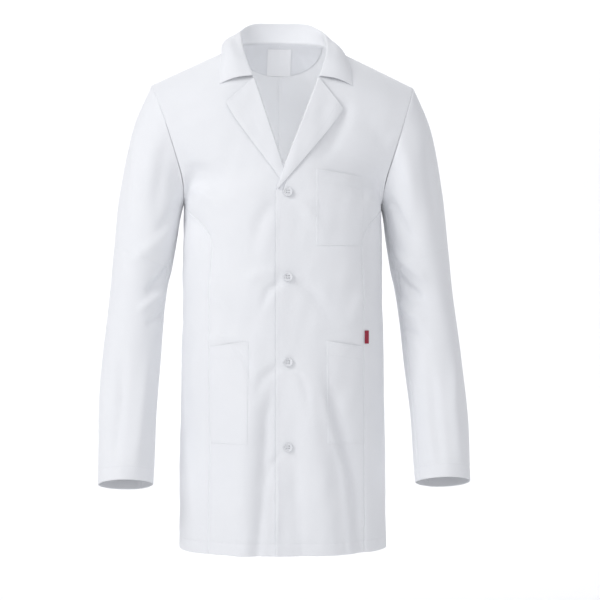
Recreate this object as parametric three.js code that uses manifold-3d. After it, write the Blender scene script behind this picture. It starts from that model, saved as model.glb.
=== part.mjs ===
// A long-sleeved white lab coat, buttoned, in the shape that it has on a body.
// Millimetres, +Z up. The coat's front faces -Y and the wearer's left is +X.
// Heights are given above the hem. The group then puts the origin at the neck hold.
import * as THREE from 'three';
import { mergeVertices } from 'three/addons/utils/BufferGeometryUtils.js';
import Module from 'manifold-3d';

const wasm = await Module();
wasm.setup();

// ---- Driving dimensions -------------------------------------------------------------------

const CLOTH = 1.6;
const FACING_CLOTH = 1.2;
const TRIM_CLOTH = 1.0;
const GAP = 0.4;
const FRONTS_GAP = 1.6;
const POCKET_GAP = 1.9;

const HEM_HALF_WIDTH = 180;
const CHEST_HALF_WIDTH = 172;
const FRONT_DEPTH = 128;
const FRONT_HEM_DEPTH = 132;
const BACK_DEPTH = 112;
const BACK_HEM_DEPTH = 120;
const ROUNDNESS = 2.4;

const NECK_Z = 868;
const NECK_X = 84;
const SHOULDER_X = 229;
const SHOULDER_Z = NECK_Z - 68;
const ARMHOLE_HEIGHT = 205;
const ARMPIT_Z = SHOULDER_Z - ARMHOLE_HEIGHT;
const BACK_NECK_RISE = 20;
const BACK_NECK_DEPTH = 70;
const ARMHOLE_FRONT_DEPTH = 75;
const ARMHOLE_BACK_DEPTH = 80;
const CHEST_SLOPE = 0.33;

const OVERLAP = 20;
const BREAK_Z = ARMPIT_Z + 15;
const ROLL_TOP_X = 57;
const ROLL_TOP_Z = NECK_Z - 62;
const LAPEL_WIDTH = 58;
const LAPEL_LENGTH = 178;
const LAPEL_START = 0.05;
const COVERED_LAPEL_START = 0.34;
const LAPEL_END = 0.985;
const ROLL_GAP = 2;
const FACING_WIDTH = 82;
const FRONT_SPLIT_Z = ARMPIT_Z - 90;

const SIDE_SEAM_ANGLE = 0.79;
const BACK_SEAM_ANGLE = 2.3;
const SEAM_CURVE_LENGTH = 75;
const SEAM_GAP_ANGLE = 0.002;
const CENTRE_GAP_ANGLE = 0.0003;

const COLLAR_STAND_HEIGHT = 32;
const COLLAR_POINT_X = 112;
const COLLAR_POINT_Z = NECK_Z - 77;
const COLLAR_FALL_X = 105;
const LEAF_ROLL = 8;
const LEAF_CLEARANCE = 4;

const BUTTON_RADIUS = 8;
const BUTTON_THICKNESS = 3.2;
const BUTTON_TOP_Z = BREAK_Z - 1;
const BUTTON_SPACING = 142.3;
const BUTTON_COUNT = 4;
const BUTTON_HOLE_RADIUS = 1.0;
const BUTTON_HOLE_OFFSET = 1.9;
const BUTTON_STANDOFF = 1.3;
const THREAD_RADIUS = 0.6;
const SHANK_RADIUS = 1.1;
const BUTTON_CLEARANCE = 2.4;
const SLIT_WIDTH = 3.0;
const SLIT_LENGTH = 17;

const CHEST_POCKET_INNER_X = 48;
const CHEST_POCKET_OUTER_X = 130;
const CHEST_POCKET_MOUTH_Z = ARMPIT_Z + 53;
const CHEST_POCKET_DROP = 10;
const CHEST_POCKET_DEPTH = 128;
const CHEST_POCKET_ROOM = 12;
const HIP_POCKET_INNER_X = 66;
const HIP_POCKET_MOUTH_Z = ARMPIT_Z - 236;
const HIP_POCKET_DROP = 10;
const HIP_POCKET_DEPTH = 172;
const HIP_POCKET_ROOM = 13;

const LABEL_WIDTH = 43;
const LABEL_HEIGHT = 46;
const LABEL_TOP_BELOW_SEAM = 9;
const NECK_FACING_DEPTH = 52;
const TAB_LENGTH = 22;
const TAB_WIDTH = 8;
const TAB_Z = HIP_POCKET_MOUTH_Z + 6;

const ELBOW_Z = SHOULDER_Z - 364;
const ELBOW_BEND_MAX = 60;
const FOLD_CLEARANCE = 14;
const CUFF_Z = SHOULDER_Z - 684;
const FOREARM_TILT = 16;

// ---- Cloth between two skins --------------------------------------------------------------

// A closed thin piece: two skins over the same grid, joined by a rim round the edge, or at the
// two ends only when the grid runs right round a tube.
function pieceBetween(outerAt, innerAt, across, along, tube = false) {
  const positions = [];
  const triangles = [];
  const columns = tube ? across : across + 1;
  const addSkin = (pointAt) => {
    const first = positions.length / 3;
    for (let j = 0; j <= along; j++) {
      for (let i = 0; i < columns; i++) {
        positions.push(...pointAt(i / across, j / along).toArray());
      }
    }
    return first;
  };
  const outer = addSkin(outerAt);
  const inner = addSkin(innerAt);
  const vertex = (first, i, j) => first + j * columns + (i % columns);
  const quad = (a, b, c, d) => triangles.push(a, b, c, a, c, d);
  for (let j = 0; j < along; j++) {
    for (let i = 0; i < across; i++) {
      const [a, b, c, d] = [[i, j], [i + 1, j], [i + 1, j + 1], [i, j + 1]];
      quad(...[a, b, c, d].map((corner) => vertex(outer, ...corner)));
      quad(...[a, d, c, b].map((corner) => vertex(inner, ...corner)));
    }
  }
  const rim = (...edge) => {
    const [first, second] = [edge.slice(0, 2), edge.slice(2)];
    const [a, b] = [vertex(outer, ...first), vertex(outer, ...second)];
    quad(b, a, vertex(inner, ...first), vertex(inner, ...second));
  };
  for (let i = 0; i < across; i++) {
    rim(i, 0, i + 1, 0);
    rim(i + 1, along, i, along);
  }
  for (let j = 0; j < along && !tube; j++) {
    rim(0, j + 1, 0, j);
    rim(across, j, across, j + 1);
  }
  const geometry = new THREE.BufferGeometry();
  geometry.setAttribute('position', new THREE.Float32BufferAttribute(positions, 3));
  geometry.setIndex(triangles);
  return facingOut(geometry);
}

function signedVolume(geometry) {
  const place = geometry.getAttribute('position');
  const index = geometry.getIndex();
  const [a, b, c] = [new THREE.Vector3(), new THREE.Vector3(), new THREE.Vector3()];
  let volume = 0;
  for (let i = 0; i < index.count; i += 3) {
    a.fromBufferAttribute(place, index.getX(i));
    b.fromBufferAttribute(place, index.getX(i + 1));
    c.fromBufferAttribute(place, index.getX(i + 2));
    volume += a.dot(b.cross(c)) / 6;
  }
  return volume;
}

function facingOut(geometry) {
  if (signedVolume(geometry) < 0) {
    const index = geometry.getIndex();
    for (let i = 0; i < index.count; i += 3) {
      const first = index.getX(i);
      index.setX(i, index.getX(i + 2));
      index.setX(i + 2, first);
    }
  }
  return geometry;
}

function mirrored(geometry) {
  const copy = geometry.clone();
  copy.scale(-1, 1, 1);
  return facingOut(copy);
}

function solidOf(geometry) {
  const plain = geometry.clone();
  plain.deleteAttribute('normal');
  plain.deleteAttribute('uv');
  const merged = mergeVertices(plain, 1e-4);
  return new wasm.Manifold(new wasm.Mesh({
    numProp: 3,
    vertProperties: new Float32Array(merged.getAttribute('position').array),
    triVerts: new Uint32Array(merged.getIndex().array),
  }));
}

function geometryOf(solid) {
  const mesh = solid.getMesh();
  const geometry = new THREE.BufferGeometry();
  geometry.setAttribute('position', new THREE.BufferAttribute(new Float32Array(mesh.vertProperties), 3));
  geometry.setIndex(new THREE.BufferAttribute(new Uint32Array(mesh.triVerts), 1));
  return geometry;
}

// A shape drawn in X and Z, extruded right through the coat from front to back
function throughY(shape) {
  const depth = 2 * (FRONT_DEPTH + BACK_DEPTH);
  const block = new THREE.ExtrudeGeometry(shape, { depth, bevelEnabled: false, curveSegments: 10 });
  return solidOf(block.rotateX(Math.PI / 2).translate(0, depth / 2, 0));
}

const lerp = THREE.MathUtils.lerp;
const smooth = (value) => THREE.MathUtils.smoothstep(value, 0, 1);

// ---- The body's surface -------------------------------------------------------------------
// A point of it has an angle round the body, 0 at the centre front and pi at the centre back,
// and a rise above the armpit, which above it follows the slope of the shoulder.

const SHOULDER_SLOPE = (NECK_Z - SHOULDER_Z) / (SHOULDER_X - NECK_X);

function shareOf(rise) {
  return THREE.MathUtils.clamp(rise / ARMHOLE_HEIGHT, 0, 1);
}

function halfWidth(rise) {
  if (rise <= 0) {
    return lerp(CHEST_HALF_WIDTH, HEM_HALF_WIDTH, -rise / ARMPIT_Z);
  }
  return lerp(CHEST_HALF_WIDTH, SHOULDER_X, shareOf(rise));
}

function neckCurve(x) {
  return Math.sqrt(Math.max(0, 1 - (x / NECK_X) ** 2));
}

function topHeight(x, isBack) {
  if (isBack && Math.abs(x) < NECK_X) {
    return NECK_Z + BACK_NECK_RISE * neckCurve(x);
  }
  return NECK_Z - SHOULDER_SLOPE * (Math.abs(x) - NECK_X);
}

function heightAt(x, rise, isBack) {
  if (rise <= 0) {
    return ARMPIT_Z + rise;
  }
  return ARMPIT_Z + shareOf(rise) * (topHeight(x, isBack) - ARMPIT_Z);
}

function frontDepth(rise) {
  if (rise <= 0) {
    return lerp(FRONT_DEPTH, FRONT_HEM_DEPTH, -rise / ARMPIT_Z);
  }
  const share = shareOf(rise);
  return FRONT_DEPTH * (1 - CHEST_SLOPE * share) * Math.sqrt(1 - share ** 8);
}

function backDepth(x, rise) {
  if (rise <= 0) {
    return lerp(BACK_DEPTH, BACK_HEM_DEPTH, -rise / ARMPIT_Z);
  }
  const atNeck = Math.abs(x) < NECK_X ? BACK_NECK_DEPTH * neckCurve(x) : 0;
  const fall = 1 - (atNeck / BACK_DEPTH) ** 2;
  return BACK_DEPTH * Math.sqrt(Math.max(0, 1 - fall * shareOf(rise) ** 6));
}

function armholeDepth(rise, isBack) {
  const share = shareOf(rise);
  return 2 * (isBack ? ARMHOLE_BACK_DEPTH : ARMHOLE_FRONT_DEPTH) * Math.sqrt(share * (1 - share));
}

function bodyPoint(angle, rise) {
  const isBack = Math.cos(angle) < 0;
  const across = Math.sign(Math.sin(angle)) * Math.abs(Math.sin(angle)) ** (2 / ROUNDNESS);
  const x = halfWidth(rise) * across;
  const flatness = lerp(1 / ROUNDNESS, 1, smooth(shareOf(rise) / 0.25));
  const fullness = Math.abs(Math.cos(angle)) ** (2 * flatness);
  const edge = armholeDepth(rise, isBack);
  const middle = isBack ? backDepth(x, rise) : frontDepth(rise);
  const depth = edge + (middle - edge) * fullness;
  const y = isBack ? Math.max(depth, GAP / 2) : Math.min(-depth, -GAP / 2);
  return new THREE.Vector3(x, y, heightAt(x, rise, isBack));
}

function bodyNormal(angle, rise) {
  const isBack = Math.cos(angle) < 0;
  const step = 0.02;
  const [lowest, highest] = isBack ? [Math.PI / 2, 1.5 * Math.PI] : [-Math.PI / 2, Math.PI / 2];
  const near = THREE.MathUtils.clamp(angle, lowest + step, highest - step);
  const level = THREE.MathUtils.clamp(rise, -ARMPIT_Z, ARMHOLE_HEIGHT * 0.9985);
  const round = bodyPoint(near + step * 0.9, level).sub(bodyPoint(near - step * 0.9, level));
  const up = bodyPoint(near, level + 0.2).sub(bodyPoint(near, level - 0.2));
  return round.cross(up).normalize();
}

function angleAt(x, rise, isBack = false) {
  const share = THREE.MathUtils.clamp(Math.abs(x) / halfWidth(rise), 0, 1);
  const angle = Math.sign(x) * Math.asin(share ** (ROUNDNESS / 2));
  return isBack ? Math.PI - angle : angle;
}

// The rise at which the front or back surface has the height z at x
function riseAt(x, z, isBack = false) {
  if (z <= ARMPIT_Z) {
    return z - ARMPIT_Z;
  }
  return Math.min(1, (z - ARMPIT_Z) / (topHeight(x, isBack) - ARMPIT_Z)) * ARMHOLE_HEIGHT;
}

function onBody(angle, rise, offset) {
  return bodyPoint(angle, rise).addScaledVector(bodyNormal(angle, rise), offset);
}

function onFront(x, z, offset) {
  const rise = riseAt(x, z);
  return onBody(angleAt(x, rise), rise, offset);
}

// ---- Edges and layers of the fronts -------------------------------------------------------

// The centre edge of a front: straight to the break, then the roll line, then the neck seam
function frontEdgeX(z) {
  if (z <= BREAK_Z) {
    return -OVERLAP;
  }
  if (z <= ROLL_TOP_Z) {
    return lerp(-OVERLAP, ROLL_TOP_X, (z - BREAK_Z) / (ROLL_TOP_Z - BREAK_Z));
  }
  return lerp(ROLL_TOP_X, NECK_X, (z - ROLL_TOP_Z) / (NECK_Z - ROLL_TOP_Z));
}

function frontEdgeAngle(rise) {
  let x = 0;
  for (let pass = 0; pass < 30; pass++) {
    x = frontEdgeX(heightAt(x, rise, false));
  }
  return angleAt(x, rise);
}

function seamTurn(rise) {
  return THREE.MathUtils.clamp((rise + SEAM_CURVE_LENGTH) / SEAM_CURVE_LENGTH, 0, 1) ** 2;
}

function sideSeamAngle(rise) {
  return lerp(SIDE_SEAM_ANGLE, Math.PI / 2, seamTurn(rise));
}

function backSeamAngle(rise) {
  return lerp(BACK_SEAM_ANGLE, Math.PI / 2, seamTurn(rise));
}

// The left front lies over the right one, so it stands off by the layers between them
const LAYER_LIFT = CLOTH + GAP + FACING_CLOTH + FRONTS_GAP;

function leftLift(x) {
  return LAYER_LIFT * (1 - smooth((x - 30) / 60));
}

const SKIRT_HEIGHTS = [0, 0.34, 0.67, 1].map((share) => share * FRONT_SPLIT_Z);
const CHEST_HEIGHTS = [90, 60, 35, 15, 4].map((below) => ARMPIT_Z - below);

function armholeRises(steps) {
  const shareAt = (step) => (1 - Math.cos((Math.PI * step) / steps)) / 2;
  return Array.from({ length: steps }, (_, i) => ARMHOLE_HEIGHT * shareAt(i + 1));
}

const HALF_ROUND_STEPS = 9;
const ARMHOLE_RISES = armholeRises(HALF_ROUND_STEPS);
const risesOf = (heights) => heights.map((height) => height - ARMPIT_Z);

// A panel of the body between two edges, through a list of rises
function bodyPanel({ from, to, rises, columns, offset = () => 0, thickness = CLOTH, inset = 0 }) {
  const skin = (depth) => (across, along) => {
    const rise = rises[Math.round(along * (rises.length - 1))];
    const angle = lerp(from(rise), to(rise), across);
    const base = bodyPoint(angle, rise);
    return onBody(angle, rise, offset(base.x) - inset - depth);
  };
  return pieceBetween(skin(0), skin(thickness), columns, rises.length - 1);
}

const frontTo = (rise) => (rise < 0 ? sideSeamAngle(rise) : Math.PI / 2) - SEAM_GAP_ANGLE;
const skirtRises = risesOf(SKIRT_HEIGHTS);
const sideRises = risesOf([...SKIRT_HEIGHTS, ...CHEST_HEIGHTS.slice(1)]);
const splitRise = FRONT_SPLIT_Z - ARMPIT_Z + GAP;
const chestRises = [splitRise, ...risesOf(CHEST_HEIGHTS.slice(1)), 0, ...ARMHOLE_RISES];
const fullRises = [...sideRises, 0, ...ARMHOLE_RISES];

function frontPiece(rises, offset) {
  return bodyPanel({ from: frontEdgeAngle, to: frontTo, rises, columns: 7, offset });
}

// A facing follows its front's own grid, and is cut to a band along the front's edge
function facingPiece(rises, offset) {
  const layer = bodyPanel({
    from: frontEdgeAngle,
    to: frontTo,
    rises,
    columns: 7,
    offset,
    inset: CLOTH + GAP,
    thickness: FACING_CLOTH,
  });
  const band = new THREE.Shape([
    [-2 * OVERLAP, -OVERLAP],
    [FACING_WIDTH - OVERLAP, -OVERLAP],
    [FACING_WIDTH - OVERLAP, BREAK_Z],
    [FACING_WIDTH - OVERLAP + 30, ROLL_TOP_Z],
    [NECK_X + FACING_WIDTH / 3, NECK_Z + 10],
    [-2 * OVERLAP, NECK_Z + 10],
  ].map(([x, z]) => new THREE.Vector2(x, z)));
  return geometryOf(solidOf(layer).intersect(throughY(band)));
}

function sidePanel() {
  return bodyPanel({
    from: (rise) => sideSeamAngle(rise) + SEAM_GAP_ANGLE,
    to: (rise) => backSeamAngle(rise) - SEAM_GAP_ANGLE,
    rises: sideRises,
    columns: 6,
  });
}

const BACK_COLUMNS = 9;
const backFrom = (rise) => (rise < 0 ? backSeamAngle(rise) : Math.PI / 2) + SEAM_GAP_ANGLE;

function backPanel() {
  return bodyPanel({
    from: backFrom,
    to: () => Math.PI - CENTRE_GAP_ANGLE,
    rises: fullRises,
    columns: BACK_COLUMNS,
  });
}

// A layer inside the whole upper back, on the back panels' own grid so that it follows them
function insideBackLayer(inset, thickness) {
  return bodyPanel({
    from: backFrom,
    to: (rise) => 2 * Math.PI - backFrom(rise),
    rises: ARMHOLE_RISES,
    columns: 2 * BACK_COLUMNS,
    inset,
    thickness,
  });
}

// ---- Collar and lapels --------------------------------------------------------------------

// The roll line runs straight up each front from the break to the collar
const rollLength = Math.hypot(ROLL_TOP_X + OVERLAP, ROLL_TOP_Z - BREAK_Z);
const rollAlong = new THREE.Vector2(ROLL_TOP_X + OVERLAP, ROLL_TOP_Z - BREAK_Z).normalize();
const rollAcross = new THREE.Vector2(rollAlong.y, -rollAlong.x);

function lapelWidth(share) {
  return LAPEL_WIDTH * ((1.3 * share) ** -6 + 1) ** (-1 / 6);
}

function lapelPoint(across, share, offset, lift) {
  const out = lapelWidth(share) * across + ROLL_GAP;
  const up = share * lerp(rollLength, LAPEL_LENGTH, across);
  const x = -OVERLAP + rollAlong.x * up + rollAcross.x * out;
  const z = BREAK_Z + rollAlong.y * up + rollAcross.y * out;
  return onFront(x, z, lift(x) + offset);
}

function lapelLayer(start, layer, lift) {
  const near = GAP + layer * (TRIM_CLOTH + GAP);
  const shareAt = (along) => lerp(start, LAPEL_END, along);
  const skin = (depth) => (across, along) => lapelPoint(across, shareAt(along), near + depth, lift);
  return pieceBetween(skin(TRIM_CLOTH), skin(0), 4, 8);
}

// The neck seam from the top of the roll line, over the shoulder, to the centre back
function neckSeam(share) {
  if (share < 0.4) {
    const z = lerp(ROLL_TOP_Z, NECK_Z, share / 0.4);
    return onFront(frontEdgeX(z), z, -CLOTH / 2);
  }
  const turn = ((share - 0.4) / 0.6) * (Math.PI / 2);
  const x = NECK_X * Math.cos(turn);
  return new THREE.Vector3(x, BACK_NECK_DEPTH * Math.sin(turn), NECK_Z + BACK_NECK_RISE * Math.sin(turn));
}

// The collar's fold line, which starts on the roll line
const foldLine = new THREE.CatmullRomCurve3([
  onFront(ROLL_TOP_X, ROLL_TOP_Z + 1, 2.5),
  onFront(frontEdgeX(NECK_Z - 26), NECK_Z - 26, 6).add(new THREE.Vector3(-5, 0, 2)),
  new THREE.Vector3(72, -22, NECK_Z + 12),
  new THREE.Vector3(69, 28, NECK_Z + COLLAR_STAND_HEIGHT),
  new THREE.Vector3(46, 64, NECK_Z + BACK_NECK_RISE + COLLAR_STAND_HEIGHT - 2),
  new THREE.Vector3(0, BACK_NECK_DEPTH + 7, NECK_Z + BACK_NECK_RISE + COLLAR_STAND_HEIGHT + 1),
], false, 'centripetal');

// The leaf's outer edge, which rests on the fronts, the shoulders and the back
function leafEdgePoint(x, share, isBack) {
  const rise = share * ARMHOLE_HEIGHT;
  return onBody(angleAt(x, rise, isBack), rise, LEAF_CLEARANCE);
}

const leafEdge = new THREE.CatmullRomCurve3([
  onFront(COLLAR_POINT_X, COLLAR_POINT_Z + 2, LEAF_CLEARANCE),
  leafEdgePoint(COLLAR_FALL_X + 5, 0.88, false),
  leafEdgePoint(COLLAR_FALL_X + 1, 0.985, false),
  leafEdgePoint(COLLAR_FALL_X - 4, 0.985, true),
  leafEdgePoint(COLLAR_FALL_X - 28, 0.955, true),
  leafEdgePoint(COLLAR_FALL_X - 68, 0.95, true),
  leafEdgePoint(0, 0.95, true),
], false, 'centripetal');

const neckCentre = new THREE.Vector3(0, 0, NECK_Z);

// Runs a half of the collar, 0 to 1, as a whole one, from the left point round the back
function wholeCollar(halfPoint) {
  return (around, up) => {
    const half = 1 - Math.abs(2 * around - 1);
    const point = halfPoint(half, up);
    return around <= 0.5 ? point : point.setX(-point.x);
  };
}

function outwardOf(point) {
  return point.clone().sub(neckCentre).setZ(0).normalize();
}

// A point at a distance outside a surface, along the surface's own direction there
function offSurface(surface, u, v, distance) {
  const step = 0.02;
  const [a, b] = [Math.max(step, Math.min(1 - step, u)), Math.max(step, Math.min(1 - step, v))];
  const alongU = surface(a + step, b).sub(surface(a - step, b));
  const alongV = surface(a, b + step).sub(surface(a, b - step));
  const normal = alongU.cross(alongV).normalize();
  const point = surface(u, v);
  const side = Math.sign(normal.dot(outwardOf(point).setZ(0.5)));
  return point.addScaledVector(normal, side * distance);
}

function standPoint(half, up) {
  const share = lerp(0.16, 1, half);
  const low = neckSeam(share);
  const high = foldLine.getPoint(share);
  const rise = high.clone().sub(low).normalize();
  return low.lerp(high, up).addScaledVector(rise, lerp(GAP + 0.5, -0.3, up));
}

function collarStand() {
  const skin = (side) => wholeCollar((half, up) => offSurface(standPoint, half, up, side));
  return pieceBetween(skin(TRIM_CLOTH / 2), skin(-TRIM_CLOTH / 2), 20, 2);
}

function leafPoint(half, down) {
  const top = foldLine.getPoint(half);
  const low = leafEdge.getPoint(half);
  const outward = outwardOf(top);
  top.addScaledVector(outward, TRIM_CLOTH + 2 * GAP);
  const belly = LEAF_ROLL * 4 * down * (1 - down);
  return top.lerp(low, down).addScaledVector(outward.setZ(0.8).normalize(), belly);
}

function collarLeaf(layer) {
  const near = layer * (TRIM_CLOTH + GAP);
  const skin = (depth) => wholeCollar((half, down) => offSurface(leafPoint, half, down, near + depth));
  return pieceBetween(skin(TRIM_CLOTH), skin(0), 20, 4);
}

// ---- Inside the neck ----------------------------------------------------------------------

function neckFacing() {
  const halfMoon = new THREE.Shape();
  const reach = NECK_X - 8;
  halfMoon.absellipse(0, NECK_Z + BACK_NECK_RISE - 4, reach, NECK_FACING_DEPTH, Math.PI, 2 * Math.PI);
  const layer = insideBackLayer(CLOTH + GAP, FACING_CLOTH);
  return geometryOf(solidOf(layer).intersect(throughY(halfMoon)));
}

function neckLabel() {
  const low = NECK_Z + BACK_NECK_RISE - LABEL_TOP_BELOW_SEAM - LABEL_HEIGHT;
  const outline = new THREE.Shape([
    [-LABEL_WIDTH / 2, low],
    [LABEL_WIDTH / 2, low],
    [LABEL_WIDTH / 2, low + LABEL_HEIGHT],
    [-LABEL_WIDTH / 2, low + LABEL_HEIGHT],
  ].map(([x, z]) => new THREE.Vector2(x, z)));
  const layer = insideBackLayer(CLOTH + FACING_CLOTH + 2 * GAP, TRIM_CLOTH);
  return geometryOf(solidOf(layer).intersect(throughY(outline)));
}

// ---- Pockets and the side tab -------------------------------------------------------------

// A patch pocket, sewn down on three sides, with room behind its mouth
function patchPocket({ innerX, outerX, mouthZ, drop, depth, room, lift }) {
  const skin = (thickness) => (across, up) => {
    const z = lerp(mouthZ - depth, mouthZ - drop * across, up);
    const x = lerp(innerX, outerX(z), across);
    const gape = room * Math.sin(Math.PI * across) ** 0.7 * smooth(up) ** 0.7;
    return onFront(x, z, lift(x) + POCKET_GAP + gape + thickness);
  };
  return pieceBetween(skin(CLOTH), skin(0), 8, 5);
}

function seamXAt(z) {
  return bodyPoint(sideSeamAngle(z - ARMPIT_Z), z - ARMPIT_Z).x;
}

function hipPocket(lift) {
  return patchPocket({
    innerX: HIP_POCKET_INNER_X,
    outerX: (z) => seamXAt(z) - 1.5,
    mouthZ: HIP_POCKET_MOUTH_Z,
    drop: HIP_POCKET_DROP,
    depth: HIP_POCKET_DEPTH,
    room: HIP_POCKET_ROOM,
    lift,
  });
}

function chestPocket(lift) {
  return patchPocket({
    innerX: CHEST_POCKET_INNER_X,
    outerX: () => CHEST_POCKET_OUTER_X,
    mouthZ: CHEST_POCKET_MOUTH_Z,
    drop: CHEST_POCKET_DROP,
    depth: CHEST_POCKET_DEPTH,
    room: CHEST_POCKET_ROOM,
    lift,
  });
}

function sideTab() {
  const skin = (depth) => (across, up) => {
    const rise = TAB_Z + TAB_LENGTH * (up - 0.5) - ARMPIT_Z;
    const nearby = bodyPoint(SIDE_SEAM_ANGLE + 0.01, rise);
    const perAngle = bodyPoint(SIDE_SEAM_ANGLE, rise).distanceTo(nearby) / 0.01;
    const angle = SIDE_SEAM_ANGLE + (0.5 + TAB_WIDTH * across) / perAngle;
    return onBody(angle, rise, GAP + depth);
  };
  return pieceBetween(skin(TRIM_CLOTH), skin(0), 2, 1);
}

// ---- Buttons, their thread and the buttonholes --------------------------------------------

const buttonHeights = Array.from({ length: BUTTON_COUNT }, (_, i) => BUTTON_TOP_Z - i * BUTTON_SPACING);

// Moves a shape that stands on the XY plane so that it stands on the right front at a button
function atButton(geometry, height) {
  const rise = riseAt(0, height);
  const turn = new THREE.Quaternion().setFromUnitVectors(new THREE.Vector3(0, 0, 1), bodyNormal(0, rise));
  return geometry.applyQuaternion(turn).translate(...bodyPoint(0, rise).toArray());
}

function upright(radius, low, high, sides) {
  return new THREE.CylinderGeometry(radius, radius, high - low, sides)
    .rotateX(Math.PI / 2)
    .translate(0, 0, (low + high) / 2);
}

const buttonBase = LAYER_LIFT + BUTTON_STANDOFF;
const buttonWell = buttonBase + BUTTON_THICKNESS * 0.7;
const holeSpots = [[1, 1], [-1, 1], [-1, -1], [1, -1]].map(
  ([x, y]) => [x * BUTTON_HOLE_OFFSET, y * BUTTON_HOLE_OFFSET]);

function buttonShape() {
  const top = buttonBase + BUTTON_THICKNESS;
  const profile = [
    [0, buttonBase],
    [BUTTON_RADIUS - 1.2, buttonBase],
    [BUTTON_RADIUS, buttonBase + 1.1],
    [BUTTON_RADIUS, top - 1],
    [BUTTON_RADIUS - 0.8, top],
    [BUTTON_RADIUS - 2, top],
    [BUTTON_RADIUS - 3.2, buttonWell],
    [0, buttonWell],
  ].map(([x, z]) => new THREE.Vector2(x, z));
  const disc = new THREE.LatheGeometry(profile, 16).rotateX(Math.PI / 2);
  let solid = solidOf(facingOut(mergeVertices(stripped(disc), 1e-4)));
  for (const [x, y] of holeSpots) {
    const hole = upright(BUTTON_HOLE_RADIUS, buttonBase - 1, top + 1, 6).translate(x, y, 0);
    solid = solid.subtract(solidOf(hole));
  }
  return geometryOf(solid);
}

function stripped(geometry) {
  geometry.deleteAttribute('normal');
  geometry.deleteAttribute('uv');
  return geometry;
}

function threadShape() {
  const underside = buttonBase - 0.3;
  let solid = solidOf(upright(SHANK_RADIUS, 0.35, underside - 0.3, 6));
  const padRadius = BUTTON_HOLE_OFFSET * Math.SQRT2 + THREAD_RADIUS;
  solid = solid.add(solidOf(upright(padRadius, underside - 0.5, underside, 8)));
  for (const [x, y] of holeSpots) {
    const strand = upright(THREAD_RADIUS, underside - 0.2, buttonWell + 0.8, 4).translate(x, y, 0);
    solid = solid.add(solidOf(strand));
  }
  for (const y of [BUTTON_HOLE_OFFSET, -BUTTON_HOLE_OFFSET]) {
    const bar = new THREE.BoxGeometry(2 * (BUTTON_HOLE_OFFSET + THREAD_RADIUS), 2 * THREAD_RADIUS, 0.6);
    solid = solid.add(solidOf(bar.translate(0, y, buttonWell + 0.65)));
  }
  return geometryOf(solid);
}

// A round opening in the left front lets its button through, and the buttonhole fills it
const openingRadius = BUTTON_RADIUS + BUTTON_CLEARANCE;

function openingPlug(height, radius) {
  return solidOf(atButton(upright(radius, -1, LAYER_LIFT + 2, 16), height));
}

function withOpenings(geometry, heights) {
  let solid = solidOf(geometry);
  for (const height of heights) {
    solid = solid.subtract(openingPlug(height, openingRadius));
  }
  return geometryOf(solid);
}

function buttonhole(height) {
  const low = height - 2 * openingRadius - ARMPIT_Z;
  const high = height + 2 * openingRadius - ARMPIT_Z;
  const skin = (depth) => (across, up) => {
    const rise = lerp(low, high, up);
    return onBody(angleAt(lerp(-OVERLAP, OVERLAP, across), rise), rise, LAYER_LIFT - depth);
  };
  const layers = pieceBetween(skin(0), skin(CLOTH + FACING_CLOTH + GAP), 4, 4);
  const slit = new THREE.BoxGeometry(SLIT_LENGTH, SLIT_WIDTH, 3 * LAYER_LIFT);
  const patch = solidOf(layers).intersect(openingPlug(height, openingRadius - GAP));
  return geometryOf(patch.subtract(solidOf(atButton(slit, height))));
}

// ---- Sleeves ------------------------------------------------------------------------------

// Each ring of the sleeve is seen from the front as a line from its inner point to its outer one.
// It has a depth forwards and back from its middle, a distance back from the armhole's middle, and
// a tilt. The first ring is the armhole.
function ring([innerX, innerZ], [outerX, outerZ], [front, rear], back, tilt) {
  return { inner: [innerX, innerZ], outer: [outerX, outerZ], depth: [front, rear], back, tilt };
}

// A ring below the armhole: how far out of the side its inner point is, its width, and its depths
// as changes from the armhole's
function lowerRing(out, width, innerZ, outerZ, [front, rear], back, tilt) {
  const innerX = CHEST_HALF_WIDTH + out;
  const depths = [ARMHOLE_FRONT_DEPTH + front, ARMHOLE_BACK_DEPTH + rear];
  return ring([innerX, innerZ], [innerX + width, outerZ], depths, back, tilt);
}

const armholeDepths = [ARMHOLE_FRONT_DEPTH, ARMHOLE_BACK_DEPTH];
const forearmStep = (ELBOW_Z - CUFF_Z) / 3;
const SLEEVE_ROWS = [
  ring([CHEST_HALF_WIDTH, ARMPIT_Z], [SHOULDER_X, SHOULDER_Z], armholeDepths, 0, 0),
  lowerRing(5, 85, ARMPIT_Z - 23, SHOULDER_Z - 80, [3, 2], 2, 0),
  lowerRing(11, 100, ARMPIT_Z - 63, SHOULDER_Z - 188, [-2, -1], 6, 0),
  lowerRing(21, 100, ARMPIT_Z - 113, SHOULDER_Z - 280, [-9, -7], 10, 0),
  lowerRing(31, 98, ELBOW_Z, ELBOW_Z, [-15, -14], 10, 6),
  lowerRing(40, 100, ELBOW_Z - forearmStep, ELBOW_Z - forearmStep, [-19, -20], -14, FOREARM_TILT),
  lowerRing(47, 100, CUFF_Z + forearmStep, CUFF_Z + forearmStep, [-22, -25], -45, FOREARM_TILT),
  lowerRing(52, 94, CUFF_Z, CUFF_Z, [-25, -30], -75, FOREARM_TILT),
];
const ELBOW_ROW = 4;
const LAST_ROW = SLEEVE_ROWS.length - 1;
const FRONT_SLEEVE_SEAM = 160;
const BACK_SLEEVE_SEAM = 240;

function curveThrough(read) {
  return new THREE.CatmullRomCurve3(SLEEVE_ROWS.map(read), false, 'catmullrom', 0.5);
}

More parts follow.
